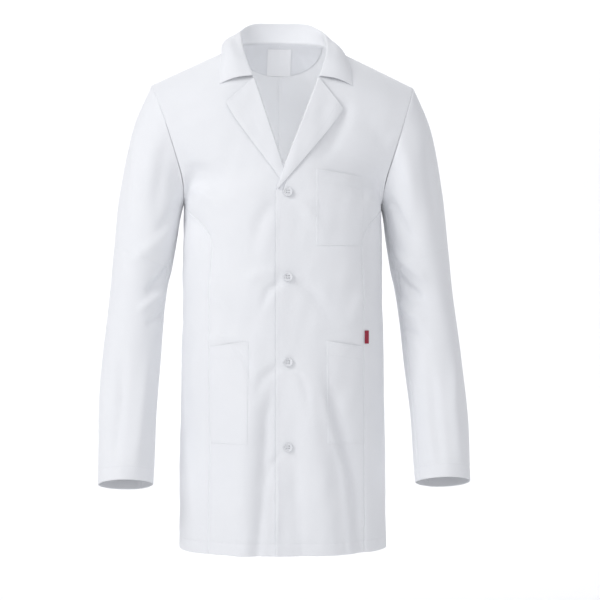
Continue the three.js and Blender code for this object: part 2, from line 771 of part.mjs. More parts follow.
const outerLine = curveThrough((row) => new THREE.Vector3(row.outer[0], 0, row.outer[1]));
const innerLine = curveThrough((row) => new THREE.Vector3(row.inner[0], 0, row.inner[1]));
const depthLine = curveThrough((row) => new THREE.Vector3(...row.depth, row.back));
const tiltLine = curveThrough((row) => new THREE.Vector3(row.tilt, 0, 0));

// A point of the left sleeve: row along it, degrees round it from the outside forwards, and depth
// into the cloth
function sleevePoint(row, degrees, depth) {
  const share = row / LAST_ROW;
  const outer = outerLine.getPoint(share);
  const inner = innerLine.getPoint(share);
  const [front, rear, back] = depthLine.getPoint(share).toArray();
  const tilt = THREE.MathUtils.degToRad(tiltLine.getPoint(share).x);
  const middle = outer.clone().add(inner).multiplyScalar(0.5);
  const radius = outer.distanceTo(inner) / 2;
  const toOuter = outer.sub(inner).normalize();
  const forward = new THREE.Vector3(0, -Math.cos(tilt), Math.sin(tilt));
  const turn = THREE.MathUtils.degToRad(degrees);
  const reach = Math.sin(turn) >= 0 ? front : rear;
  return middle
    .add(new THREE.Vector3(0, back, 0))
    .addScaledVector(toOuter, (radius - depth) * Math.cos(turn))
    .addScaledVector(forward, (reach - depth) * Math.sin(turn));
}

// The gap to the armhole is along its plane's own direction
const armholeOut = new THREE.Vector3(SHOULDER_Z - ARMPIT_Z, 0, CHEST_HALF_WIDTH - SHOULDER_X).normalize();

function sleevePiece(firstRow, lastRow, fromDegrees, toDegrees, steps) {
  const isWhole = toDegrees - fromDegrees >= 360;
  const columns = Math.round((toDegrees - fromDegrees) / (180 / HALF_ROUND_STEPS));
  const inset = isWhole ? 0 : 0.25;
  const skin = (depth) => (across, along) => {
    const row = lerp(firstRow, lastRow, along);
    const degrees = lerp(fromDegrees + inset, toDegrees - inset, across);
    const point = sleevePoint(row, degrees, depth);
    return row === 0 ? point.addScaledVector(armholeOut, GAP) : point;
  };
  return pieceBetween(skin(0), skin(CLOTH), columns, steps, isWhole);
}

// The elbow's folds take up the bend, so they are as tall as the bend needs at the sleeve's front
const elbowReach = SLEEVE_ROWS[ELBOW_ROW].depth[0] * Math.tan(THREE.MathUtils.degToRad(ELBOW_BEND_MAX / 2));
const ringHeight = (row) => SLEEVE_ROWS[row].outer[1];
const rowsPerHeight = (from, to) => 1 / Math.abs(ringHeight(from) - ringHeight(to));
const foldTopRow = ELBOW_ROW - (elbowReach + FOLD_CLEARANCE) * rowsPerHeight(ELBOW_ROW - 1, ELBOW_ROW);
const foldLowRow = ELBOW_ROW + (elbowReach + FOLD_CLEARANCE) * rowsPerHeight(ELBOW_ROW, ELBOW_ROW + 1);
const rowGap = GAP * rowsPerHeight(ELBOW_ROW, ELBOW_ROW + 1);

function topSleeve(firstRow, lastRow, steps) {
  return sleevePiece(firstRow, lastRow, BACK_SLEEVE_SEAM - 360, FRONT_SLEEVE_SEAM, steps);
}

function underSleeve(firstRow, lastRow, steps) {
  return sleevePiece(firstRow, lastRow, FRONT_SLEEVE_SEAM, BACK_SLEEVE_SEAM, steps);
}

function elbowFolds() {
  return sleevePiece(foldTopRow + rowGap, foldLowRow - rowGap, 0, 360, 2);
}

// ---- Materials ----------------------------------------------------------------------------

const plain = (color, roughness) => new THREE.MeshStandardMaterial({ color, roughness, metalness: 0 });
const coatCloth = () => plain(0xedeff3, 0.85);
const insideCloth = () => plain(0xd5d8dd, 0.85);
const labelCloth = () => plain(0xe4e6ea, 0.8);
const tabCloth = () => plain(0x8c2f3e, 0.8);
const buttonPlastic = () => plain(0xf1f2f4, 0.35);
const threadCotton = () => plain(0xf4f4f4, 0.75);

// ---- The coat -----------------------------------------------------------------------------

const group = new THREE.Group();
group.position.z = -NECK_Z;

function add(name, geometry, material) {
  const mesh = new THREE.Mesh(geometry, material);
  mesh.name = name;
  group.add(mesh);
}

function addPair(name, geometry, material) {
  add(`${name}_left`, geometry, material());
  add(`${name}_right`, mirrored(geometry), material());
}

const [topButton, ...lowerButtons] = buttonHeights;
const flat = () => 0;

addPair('back', backPanel(), coatCloth);
addPair('side_panel', sidePanel(), coatCloth);
add('front_left_chest', withOpenings(frontPiece(chestRises, leftLift), [topButton]), coatCloth());
add('front_left_skirt', withOpenings(frontPiece(skirtRises, leftLift), lowerButtons), coatCloth());
add('front_right', mirrored(frontPiece(fullRises, flat)), coatCloth());
add('facing_left_chest', withOpenings(facingPiece(chestRises, leftLift), [topButton]), insideCloth());
add('facing_left_skirt', withOpenings(facingPiece(skirtRises, leftLift), lowerButtons), insideCloth());
add('facing_right', mirrored(facingPiece(fullRises, flat)), insideCloth());

add('back_neck_facing', neckFacing(), insideCloth());
add('neck_label', neckLabel(), labelCloth());
add('collar_stand', collarStand(), coatCloth());
add('under_collar', collarLeaf(0), insideCloth());
add('top_collar', collarLeaf(1), coatCloth());

add('lapel_left_under', lapelLayer(LAPEL_START, 0, leftLift), insideCloth());
add('lapel_left_top', lapelLayer(LAPEL_START, 1, leftLift), coatCloth());
add('lapel_right_under', mirrored(lapelLayer(COVERED_LAPEL_START, 0, flat)), insideCloth());
add('lapel_right_top', mirrored(lapelLayer(COVERED_LAPEL_START, 1, flat)), coatCloth());

add('chest_pocket', chestPocket(leftLift), coatCloth());
add('hip_pocket_left', hipPocket(leftLift), coatCloth());
add('hip_pocket_right', mirrored(hipPocket(flat)), coatCloth());
add('side_tab', sideTab(), tabCloth());

buttonHeights.forEach((height, i) => {
  add(`button_${i + 1}`, atButton(buttonShape(), height), buttonPlastic());
  add(`button_thread_${i + 1}`, atButton(threadShape(), height), threadCotton());
  add(`buttonhole_${i + 1}`, buttonhole(height), coatCloth());
});

addPair('top_sleeve_upper', topSleeve(0, foldTopRow, 7), coatCloth);
addPair('under_sleeve_upper', underSleeve(0, foldTopRow, 7), coatCloth);
addPair('elbow_folds', elbowFolds(), coatCloth);
addPair('top_sleeve_lower', topSleeve(foldLowRow, LAST_ROW, 5), coatCloth);
addPair('under_sleeve_lower', underSleeve(foldLowRow, LAST_ROW, 5), coatCloth);

export default group;
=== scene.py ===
# %% [markdown]
# # A white lab coat
# The coat is cut from one cloth, a bluish-white twill, and it is shown filled out as it is when worn.
# The frame gives the bodies, the joints and where every piece has to be. This file makes the cloth
# itself: fine sheets with folds, seams, topstitching, a rolled collar and lapels, and real buttons.

import math

import bmesh
import bpy
import numpy as np
from mathutils import Matrix, Vector


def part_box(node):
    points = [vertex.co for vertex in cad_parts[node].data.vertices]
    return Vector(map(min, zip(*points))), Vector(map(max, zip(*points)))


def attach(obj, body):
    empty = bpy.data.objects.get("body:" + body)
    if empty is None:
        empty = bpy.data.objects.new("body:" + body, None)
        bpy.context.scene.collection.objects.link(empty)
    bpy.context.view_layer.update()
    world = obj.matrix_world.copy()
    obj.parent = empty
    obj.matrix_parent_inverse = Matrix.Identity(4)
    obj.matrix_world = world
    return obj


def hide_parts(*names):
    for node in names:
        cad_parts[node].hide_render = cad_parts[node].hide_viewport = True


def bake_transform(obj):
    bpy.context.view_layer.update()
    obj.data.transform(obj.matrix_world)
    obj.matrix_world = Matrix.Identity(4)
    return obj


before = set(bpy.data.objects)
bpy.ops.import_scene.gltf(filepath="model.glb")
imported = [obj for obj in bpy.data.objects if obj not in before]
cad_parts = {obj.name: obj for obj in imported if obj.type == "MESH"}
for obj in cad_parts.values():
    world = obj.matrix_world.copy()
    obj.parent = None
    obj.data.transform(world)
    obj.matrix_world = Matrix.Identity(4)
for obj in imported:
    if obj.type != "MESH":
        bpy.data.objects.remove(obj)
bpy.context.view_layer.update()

# %% [markdown]
# ## Sizes
# The coat's surface is worked out from a few sizes in metres. Heights are measured from the neck end
# of the shoulder seam, which is the frame's origin, so the hem is far below zero. The coat's front
# faces -Y and the wearer's left is +X.

# %% Sizes
HEM_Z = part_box("back_left")[0].z
NECK_X = 0.084
SHOULDER_X = 0.229
SHOULDER_Z = -0.068
ARMHOLE_HEIGHT = 0.205
ARMPIT_Z = SHOULDER_Z - ARMHOLE_HEIGHT
SHOULDER_SLOPE = -SHOULDER_Z / (SHOULDER_X - NECK_X)
HEM_HALF_WIDTH = 0.180
CHEST_HALF_WIDTH = 0.172
FRONT_DEPTH = 0.128
FRONT_HEM_DEPTH = 0.132
BACK_DEPTH = 0.112
BACK_HEM_DEPTH = 0.120
ROUNDNESS = 2.4
BACK_NECK_RISE = 0.020
BACK_NECK_DEPTH = 0.070
ARMHOLE_FRONT_DEPTH = 0.075
ARMHOLE_BACK_DEPTH = 0.080
CHEST_SLOPE = 0.33

OVERLAP = 0.020
BREAK_Z = ARMPIT_Z + 0.015
ROLL_TOP = (0.057, -0.062)
LAPEL_WIDTH = 0.058
LAPEL_LENGTH = 0.178
FACING_WIDTH = 0.082
SIDE_SEAM_ANGLE = 0.79
BACK_SEAM_ANGLE = 2.3
SEAM_CURVE_LENGTH = 0.075

CLOTH = 0.0009
HEM_DEPTH = 0.020
STEP = 0.0035
LAYER_LIFT = 0.0048
HALF_TURN = math.pi / 2


def mix(a, b, share):
    return a + (b - a) * share


def smooth(value):
    t = np.clip(value, 0, 1)
    return t * t * (3 - 2 * t)


print("coat", round(BACK_NECK_RISE - HEM_Z, 3), "m long")

# %% [markdown]
# ## The surface of a worn coat
# A torso isn't a cylinder: it is a rounded box below the arms, and above them it narrows towards the
# shoulder seam while the armhole opens at its side. One formula gives every point from an angle round
# the body, 0 at the centre front, and a rise above the armpit. Every panel, pocket and facing is laid
# on it, so they fit each other without any fitting by hand.

# %% The surface of a worn coat
def height_at(x, rise, back):
    share = np.clip(rise / ARMHOLE_HEIGHT, 0, 1)
    neck = np.sqrt(np.clip(1 - (x / NECK_X) ** 2, 0, 1))
    slope = -SHOULDER_SLOPE * (np.abs(x) - NECK_X)
    top = np.where(back & (np.abs(x) < NECK_X), BACK_NECK_RISE * neck, slope)
    return np.where(rise > 0, ARMPIT_Z + share * (top - ARMPIT_Z), ARMPIT_Z + rise)


def soft_start(share):
    """From 0 to 1, without the crease that a straight rise would start with."""
    return np.where(share < 0.25, 2 * share ** 2, share - 0.125) / 0.875


def half_width(rise):
    share = soft_start(np.clip(rise / ARMHOLE_HEIGHT, 0, 1))
    below = np.clip(-rise / (ARMPIT_Z - HEM_Z), 0, 1)
    upper = mix(CHEST_HALF_WIDTH, SHOULDER_X, share)
    return np.where(rise > 0, upper, mix(CHEST_HALF_WIDTH, HEM_HALF_WIDTH, below))


def body_point(angle, rise):
    angle, rise = np.broadcast_arrays(np.asarray(angle, float), np.asarray(rise, float))
    back = np.cos(angle) < 0
    share = np.clip(rise / ARMHOLE_HEIGHT, 0, 1)
    below = np.clip(-rise / (ARMPIT_Z - HEM_Z), 0, 1)
    across = np.sign(np.sin(angle)) * np.abs(np.sin(angle)) ** (2 / ROUNDNESS)
    x = half_width(rise) * across
    front_depth = FRONT_DEPTH * (1 - CHEST_SLOPE * soft_start(share)) * np.sqrt(1 - share ** 8)
    front_depth = np.where(rise > 0, front_depth, mix(FRONT_DEPTH, FRONT_HEM_DEPTH, below))
    neck_depth = BACK_NECK_DEPTH * np.sqrt(np.clip(1 - (x / NECK_X) ** 2, 0, 1))
    fall = 1 - (neck_depth / BACK_DEPTH) ** 2
    back_depth = BACK_DEPTH * np.sqrt(np.clip(1 - fall * share ** 6, 0, 1))
    back_depth = np.where(rise > 0, back_depth, mix(BACK_DEPTH, BACK_HEM_DEPTH, below))
    flatness = mix(1 / ROUNDNESS, 1, smooth(share / 0.25))
    fullness = np.abs(np.cos(angle)) ** (2 * flatness)
    armhole = 2 * np.where(back, ARMHOLE_BACK_DEPTH, ARMHOLE_FRONT_DEPTH) * np.sqrt(share * (1 - share))
    armhole = armhole * mix(1, smooth(share / 0.30), smooth(fullness / 0.35))
    depth = armhole + (np.where(back, back_depth, front_depth) - armhole) * fullness
    y = np.where(back, np.maximum(depth, 0.0002), np.minimum(-depth, -0.0002))
    return np.stack([x, y, height_at(x, rise, back)], axis=-1)


def unit(vectors):
    length = np.linalg.norm(vectors, axis=-1, keepdims=True)
    return vectors / np.maximum(length, 1e-12)


def body_normal(angle, rise):
    angle, rise = np.broadcast_arrays(np.asarray(angle, float), np.asarray(rise, float))
    back = np.cos(angle) < 0
    step = 0.02
    lowest = np.where(back, HALF_TURN, -HALF_TURN) + step
    near = np.clip(angle, lowest, lowest + 2 * (HALF_TURN - step))
    level = np.clip(rise, HEM_Z - ARMPIT_Z, ARMHOLE_HEIGHT * 0.9985)
    around = body_point(near + step * 0.9, level) - body_point(near - step * 0.9, level)
    up = body_point(near, level + 0.0002) - body_point(near, level - 0.0002)
    return unit(np.cross(around, up))


def angle_at(x, rise):
    share = np.clip(np.abs(x) / half_width(rise), 0, 1)
    return np.sign(x) * np.arcsin(share ** (ROUNDNESS / 2))


def rise_at(x, z):
    top = -SHOULDER_SLOPE * (np.abs(x) - NECK_X)
    above = np.minimum(1, (z - ARMPIT_Z) / (top - ARMPIT_Z)) * ARMHOLE_HEIGHT
    return np.where(z <= ARMPIT_Z, z - ARMPIT_Z, above)


def front_surface(x, z):
    """The rise, the point and the normal of the front's surface at a place given by x and z."""
    x, z = np.broadcast_arrays(np.asarray(x, float), np.asarray(z, float))
    rise = rise_at(x, z)
    angle = angle_at(x, rise)
    return rise, body_point(angle, rise), body_normal(angle, rise)


print("chest", round(float(2 * half_width(np.array(0.0))), 3), "m wide")

# %% [markdown]
# ## The seams
# The front edge runs straight up to the first button, then along the line where the lapel rolls, then
# round the neck. The side seams run up from the hem and curve into the armhole, which shapes the chest.

# %% The seams
UNDER_OVERLAP = 0.0036


def front_edge_x(z):
    roll = mix(-OVERLAP, ROLL_TOP[0], (z - BREAK_Z) / (ROLL_TOP[1] - BREAK_Z))
    neck = mix(ROLL_TOP[0], NECK_X, (z - ROLL_TOP[1]) / -ROLL_TOP[1])
    return np.where(z <= BREAK_Z, -OVERLAP, np.where(z <= ROLL_TOP[1], roll, neck))


def under_edge_x(z):
    """The right front's edge rolls nearer to the middle, and is hidden by the left one below."""
    roll = mix(-UNDER_OVERLAP, ROLL_TOP[0], (z - BREAK_Z) / (ROLL_TOP[1] - BREAK_Z))
    low = -mix(UNDER_OVERLAP, OVERLAP, smooth((BREAK_Z - z) / 0.045))
    return np.where(z <= BREAK_Z, low, np.where(z <= ROLL_TOP[1], roll, front_edge_x(z)))


def edge_angle(rise, edge_x):
    x = np.zeros_like(rise)
    for _ in range(30):
        x = edge_x(height_at(x, rise, np.zeros_like(rise, bool)))
    return angle_at(x, rise)


def left_edge(rise):
    return edge_angle(rise, front_edge_x)


def right_edge(rise):
    return edge_angle(rise, under_edge_x)


def seam_angle(rise, low_angle):
    turn = np.clip((rise + SEAM_CURVE_LENGTH) / SEAM_CURVE_LENGTH, 0, 1) ** 2
    return mix(low_angle, HALF_TURN, turn)


def left_lift(x):
    """How far the left front stands off the body, because it lies over the right one."""
    return LAYER_LIFT * (1 - smooth((x - 0.030) / 0.060))


def no_lift(x):
    return 0 * x


# %% [markdown]
# ## Folds
# Twill holds soft, long folds. They start where the cloth is held, at a button, at the armpit or at
# the waist, and they run out towards a free edge. Each is drawn here as a ridge or a valley along a
# short line on the front or the back, because drawn folds can be put where a worn coat has them.
# Several long waves of different directions are added for the slight unevenness of pressed cotton.

# %% Folds
def near_line(x, z, line):
    """The distance from each point to a line of points, and how far along the line it is, 0 to 1."""
    line = np.array(line, float)
    lengths = np.linalg.norm(np.diff(line, axis=0), axis=1)
    done = np.concatenate([[0], np.cumsum(lengths)])
    best, along = np.full(np.shape(x), 1e9), np.zeros(np.shape(x))
    for start, end, before, length in zip(line[:-1], line[1:], done, lengths):
        dx, dz = (end - start) / length
        t = np.clip((x - start[0]) * dx + (z - start[1]) * dz, 0, length)
        distance = np.hypot(x - start[0] - t * dx, z - start[1] - t * dz)
        side = np.sign((x - start[0]) * dz - (z - start[1]) * dx)
        closer = distance < np.abs(best)
        along = np.where(closer, (before + t) / done[-1], along)
        best = np.where(closer, distance * np.where(side == 0, 1, side), best)
    return best, along


def fold(x, z, line, width, height, fade_in=0.25, fade_out=0.25):
    distance, along = near_line(x, z, line)
    ends = smooth(along / max(fade_in, 1e-3)) * smooth((1 - along) / max(fade_out, 1e-3))
    return height * ends * np.exp(-(distance / width) ** 2)


def waves(x, z, seed, wavelength, height, count=7):
    """Long waves in many directions, which stand for the unevenness of worn cloth."""
    random = np.random.default_rng(seed)
    total = 0.0
    for _ in range(count):
        turn, phase = random.uniform(0, 2 * math.pi, 2)
        pitch = wavelength * random.uniform(0.7, 1.5)
        total = total + np.sin(2 * math.pi * (x * math.cos(turn) + z * math.sin(turn)) / pitch + phase)
    return height * total / math.sqrt(count)


BUTTON_TOP_Z, BUTTON_SPACING = BREAK_Z - 0.001, 0.1423
FRONT_FOLDS = [
    # beside the front edge, down to the hem
    ([(-0.050, -0.480), (-0.060, -0.600), (-0.070, -0.740), (-0.078, -0.880)], 0.024, 0.0090, 0.45, 0.01),
    ([(-0.018, -0.540), (-0.036, -0.640), (-0.042, -0.760), (-0.052, -0.880)], 0.009, -0.0042, 0.4, 0.01),
    ([(-0.016, -0.700), (-0.018, -0.880)], 0.006, 0.0022, 0.3, 0.01),
    ([(-0.080, -0.780), (-0.100, -0.880)], 0.020, -0.0050, 0.6, 0.01),
    ([(-0.132, -0.480), (-0.130, -0.650), (-0.134, -0.880)], 0.024, -0.0046, 0.5, 0.01),
    # from the waist across the left skirt, with a sharp side where the cloth turns away
    ([(0.026, -0.500), (0.038, -0.620), (0.060, -0.740), (0.078, -0.880)], 0.026, 0.0070, 0.4, 0.01),
    ([(0.047, -0.540), (0.062, -0.620), (0.096, -0.740), (0.110, -0.880)], 0.010, 0.0030, 0.3, 0.01),
    ([(0.062, -0.540), (0.080, -0.620), (0.114, -0.740), (0.127, -0.880)], 0.012, -0.0050, 0.3, 0.01),
    ([(0.004, -0.640), (0.014, -0.760), (0.022, -0.880)], 0.012, -0.0030, 0.5, 0.01),
    # small creases that start at the waist and the third button
    ([(-0.100, -0.500), (-0.070, -0.540), (-0.052, -0.600)], 0.006, -0.0020, 0.3, 0.6),
    ([(-0.150, -0.520), (-0.115, -0.500), (-0.070, -0.512)], 0.007, 0.0018, 0.3, 0.5),
    ([(0.014, -0.552), (0.030, -0.590), (0.036, -0.660)], 0.007, -0.0020, 0.15, 0.6),
    ([(-0.010, -0.690), (-0.030, -0.720), (-0.040, -0.780)], 0.006, -0.0018, 0.15, 0.6),
    # away from the buttons
    ([(-0.006, -0.404), (-0.032, -0.424), (-0.052, -0.474)], 0.007, -0.0038, 0.15, 0.6),
    ([(-0.012, -0.392), (-0.050, -0.396), (-0.085, -0.420)], 0.009, 0.0023, 0.2, 0.6),
    ([(0.014, -0.404), (0.048, -0.432), (0.072, -0.480)], 0.010, -0.0026, 0.2, 0.6),
    ([(-0.010, -0.545), (-0.042, -0.572), (-0.062, -0.622)], 0.009, -0.0035, 0.2, 0.6),
    ([(0.012, -0.262), (0.044, -0.300), (0.060, -0.350)], 0.011, 0.0023, 0.2, 0.6),
    ([(-0.012, -0.262), (-0.048, -0.310), (-0.066, -0.380)], 0.012, -0.0032, 0.2, 0.6),
    # beside the left lapel, where the chest's cloth sinks in behind it
    ([(0.104, -0.092), (0.098, -0.130), (0.074, -0.180), (0.040, -0.222)], 0.011, -0.0040, 0.2, 0.4),
    # from the armpits towards the waist and the chest
    ([(-0.170, -0.275), (-0.140, -0.330), (-0.118, -0.420)], 0.013, -0.0061, 0.2, 0.6),
    ([(-0.176, -0.240), (-0.135, -0.262), (-0.090, -0.300)], 0.012, 0.0046, 0.25, 0.6),
    ([(-0.188, -0.190), (-0.160, -0.215), (-0.125, -0.225)], 0.012, -0.0038, 0.25, 0.6),
    ([(0.168, -0.275), (0.146, -0.330), (0.134, -0.420)], 0.012, -0.0049, 0.2, 0.6),
    ([(0.178, -0.230), (0.150, -0.262), (0.125, -0.310)], 0.012, 0.0043, 0.25, 0.6),
    ([(0.190, -0.170), (0.160, -0.160), (0.120, -0.135)], 0.014, -0.0029, 0.25, 0.6),
    ([(-0.196, -0.130), (-0.150, -0.120), (-0.100, -0.100)], 0.015, -0.0026, 0.25, 0.6),
    # over the hips, above the pockets
    ([(-0.150, -0.400), (-0.100, -0.455), (-0.060, -0.470)], 0.014, 0.0032, 0.3, 0.5),
    ([(0.140, -0.420), (0.110, -0.470), (0.070, -0.490)], 0.013, 0.0026, 0.3, 0.5),
]
BACK_FOLDS = [
    ([(-0.020, -0.420), (-0.030, -0.620), (-0.050, -0.880)], 0.024, -0.0060, 0.4, 0.01),
    ([(0.045, -0.400), (0.060, -0.640), (0.066, -0.880)], 0.024, 0.0060, 0.4, 0.01),
    ([(0.110, -0.480), (0.120, -0.700), (0.126, -0.880)], 0.018, -0.0045, 0.4, 0.01),
    ([(-0.095, -0.440), (-0.106, -0.640), (-0.112, -0.880)], 0.020, 0.0050, 0.4, 0.01),
    ([(-0.170, -0.270), (-0.120, -0.330), (-0.070, -0.360)], 0.016, 0.0042, 0.2, 0.6),
    ([(0.170, -0.270), (0.120, -0.330), (0.070, -0.360)], 0.016, 0.0042, 0.2, 0.6),
    ([(-0.190, -0.180), (-0.120, -0.175), (-0.040, -0.190)], 0.016, 0.0030, 0.2, 0.6),
    ([(0.190, -0.180), (0.120, -0.172), (0.040, -0.185)], 0.016, 0.0030, 0.2, 0.6),
    ([(-0.110, -0.400), (0.000, -0.430), (0.110, -0.400)], 0.016, -0.0028, 0.3, 0.3),
    ([(-0.090, -0.470), (0.010, -0.500), (0.100, -0.478)], 0.014, 0.0022, 0.3, 0.3),
]


def drape(point, rise):
    """How far the cloth stands out at each point of the body's surface."""
    x, y, z = np.moveaxis(point, -1, 0)
    front = smooth((0.010 - y) / 0.060)
    total = sum(fold(x, z, *one) for one in FRONT_FOLDS) * front
    for number in range(4):
        level = BUTTON_TOP_Z - number * BUTTON_SPACING
        total = total * (1 - np.exp(-((x / 0.015) ** 2 + ((z - level) / 0.013) ** 2) ** 2))
    total += sum(fold(x, z, *one) for one in BACK_FOLDS) * (1 - front)
    around = np.arctan2(x, -y) * 0.15
    total += waves(around, z * 0.45, 3, 0.110, 0.0011)
    total += waves(around, z * 0.8, 8, 0.040, 0.00035)
    share = np.clip(rise / ARMHOLE_HEIGHT, 0, 1)
    at_armhole = smooth((half_width(rise) - np.abs(x)) / 0.035)
    held = mix(1, at_armhole, smooth((rise + 0.05) / 0.05))
    return total * held * smooth((1 - share) / 0.08)


print("folds", len(FRONT_FOLDS), "in front,", len(BACK_FOLDS), "behind")

# %% [markdown]
# ## Cloth as a closed sheet
# A sheet of cloth has an outside, an inside and an edge. Each piece here is two fine grids, one
# thickness apart, joined by a rounded rim, because a flat square edge gives modelled cloth away. The
# UV map is in metres, so that a weave keeps its real scale on every piece.

# %% Cloth as a closed sheet
def steps_along(length, spacing=STEP, edges=(0.0006, 0.0014, 0.0026, 0.0045, 0.0070)):
    """Shares from 0 to 1 along a length, closer together near both ends, where seams are."""
    near = np.array([0.0, *edges]) / length
    inner = np.linspace(near[-1], 1 - near[-1], max(3, round(length / spacing)))
    return np.concatenate([near[:-1], inner, 1 - near[:-1][::-1]])


def arc_lengths(grid, axis):
    gaps = np.linalg.norm(np.diff(grid, axis=axis), axis=-1)
    start = np.zeros_like(np.take(gaps, [0], axis=axis))
    return np.concatenate([start, np.cumsum(gaps, axis=axis)], axis=axis)


def flat_size(grid):
    """The width, length and area of the cut that a piece was made from."""
    width = arc_lengths(grid, 1).max()
    length = arc_lengths(grid, 0).max()
    across = grid[:-1, 1:] - grid[:-1, :-1]
    along = grid[1:, :-1] - grid[:-1, :-1]
    area = np.linalg.norm(np.cross(across, along), axis=-1).sum()
    return (width, length), min(area, width * length)


def boundary(rows, columns):
    low = [(0, i) for i in range(columns - 1)]
    right = [(j, columns - 1) for j in range(rows - 1)]
    high = [(rows - 1, i) for i in range(columns - 1, 0, -1)]
    left = [(j, 0) for j in range(rows - 1, 0, -1)]
    return np.array(low + right + high + left)


def new_mesh(name, points, faces, uv, material):
    mesh = bpy.data.meshes.new(name)
    mesh.from_pydata(points.tolist(), [], faces)
    layer = mesh.uv_layers.new(name="UVMap")
    corners = np.empty(len(mesh.loops), np.int32)
    mesh.loops.foreach_get("vertex_index", corners)
    layer.data.foreach_set("uv", uv[corners].astype(np.float32).ravel())
    mesh.materials.append(material)
    mesh.shade_smooth()
    made = bpy.data.objects.new(name, mesh)
    bpy.context.scene.collection.objects.link(made)
    return made


def cloth_piece(name, outer, inner, material):
    """A closed sheet between two grids of points, each of them rows by columns by 3."""
    rows, columns = outer.shape[:2]
    count = rows * columns
    across = np.cross(outer[0, 1] - outer[0, 0], outer[1, 0] - outer[0, 0])
    outward = np.sum(across * (outer[0, 0] - inner[0, 0])) > 0
    uv_grid = np.stack([arc_lengths(outer, 1), arc_lengths(outer, 0)], axis=-1)
    ids = np.arange(count).reshape(rows, columns)
    a, b, c, d = ids[:-1, :-1], ids[:-1, 1:], ids[1:, 1:], ids[1:, :-1]
    top = np.stack([a, b, c, d], axis=-1).reshape(-1, 4)
    under = top[:, ::-1] + count
    rim = boundary(rows, columns)
    inside = np.clip(rim, 1, [rows - 2, columns - 2])
    edge_out = outer[rim[:, 0], rim[:, 1]]
    edge_in = inner[rim[:, 0], rim[:, 1]]
    away = unit(edge_out - outer[inside[:, 0], inside[:, 1]])
    thick = np.linalg.norm(edge_out - edge_in, axis=-1, keepdims=True)
    middle = (edge_out + edge_in) / 2 + away * thick * 0.45
    first = ids[rim[:, 0], rim[:, 1]]
    second = 2 * count + np.arange(len(rim))
    third = first + count
    strips = []
    for upper, lower in ((first, second), (second, third)):
        strips.append(np.stack([upper, lower, np.roll(lower, -1), np.roll(upper, -1)], axis=-1))
    faces = np.concatenate([top, under, *strips])
    if not outward:
        faces = faces[:, ::-1]
    points = np.concatenate([outer.reshape(-1, 3), inner.reshape(-1, 3), middle])
    flat = uv_grid.reshape(-1, 2)
    uv = np.concatenate([flat, flat, uv_grid[rim[:, 0], rim[:, 1]]])
    return new_mesh(name, points, faces.tolist(), uv, material)


def mirrored(grid):
    return grid * np.array([-1, 1, 1])


# %% [markdown]
# ## Materials
# Shader maths is written as plain expressions. A small class wraps a node's socket, so that adding or
# multiplying two of them adds the Math nodes. All other nodes come from one method.

# %% A small class for shader maths
class Value:
    def __init__(self, tree, socket):
        self.tree = tree
        self.socket = socket

    def math(self, operation, other=None):
        node = self.tree.nodes.new("ShaderNodeMath")
        node.operation = operation
        for place, value in enumerate((self, other)):
            put(self.tree, node.inputs[place], value)
        return Value(self.tree, node.outputs[0])

    def __add__(self, other):
        return self.math("ADD", other)

    def __mul__(self, other):
        return self.math("MULTIPLY", other)

    __radd__ = __add__
    __rmul__ = __mul__


def put(tree, socket, value):
    if isinstance(value, Value):
        tree.links.new(value.socket, socket)
    elif value is not None:
        socket.default_value = value


class Finish:
    """A material under construction."""

    def __init__(self, name, **constants):
        self.material = bpy.data.materials.new(name)
        self.material.use_nodes = True
        self.tree = self.material.node_tree
        self.shader = next(n for n in self.tree.nodes if n.type == "BSDF_PRINCIPLED")
        for socket, value in constants.items():
            self.shader.inputs[socket.replace("_", " ")].default_value = value

    def node(self, kind, settings=None, output=0, **inputs):
        made = self.tree.nodes.new(kind)
        for key, value in (settings or {}).items():
            setattr(made, key, value)
        for key, value in inputs.items():
            put(self.tree, made.inputs[key.replace("_", " ")], value)
        return Value(self.tree, made.outputs[output])

    def ramp(self, factor, stops):
        made = self.tree.nodes.new("ShaderNodeValToRGB")
        for element, (place, colour) in zip(made.color_ramp.elements, stops):
            element.position = place
            element.color = (*colour, 1)
        put(self.tree, made.inputs[0], factor)
        return Value(self.tree, made.outputs[0])

    def surface(self, **links):
        for socket, value in links.items():
            put(self.tree, self.shader.inputs[socket.replace("_", " ")], value)
        return self.material


# %% [markdown]
# ## Twill
# Twill is woven so that each thread passes over two and under one, a step further along in each row,
# which gives its fine diagonal ribs, here 0.8 mm apart. The ribs and the slubs of the yarn are far too
# fine to model, so they are a bump on the UV map in metres. A little sheen stands for the fibres that
# stick out of the cloth, and very slight clouds of tone stand for uneven washing.

# %% Twill
TWILL_PITCH = 0.0008


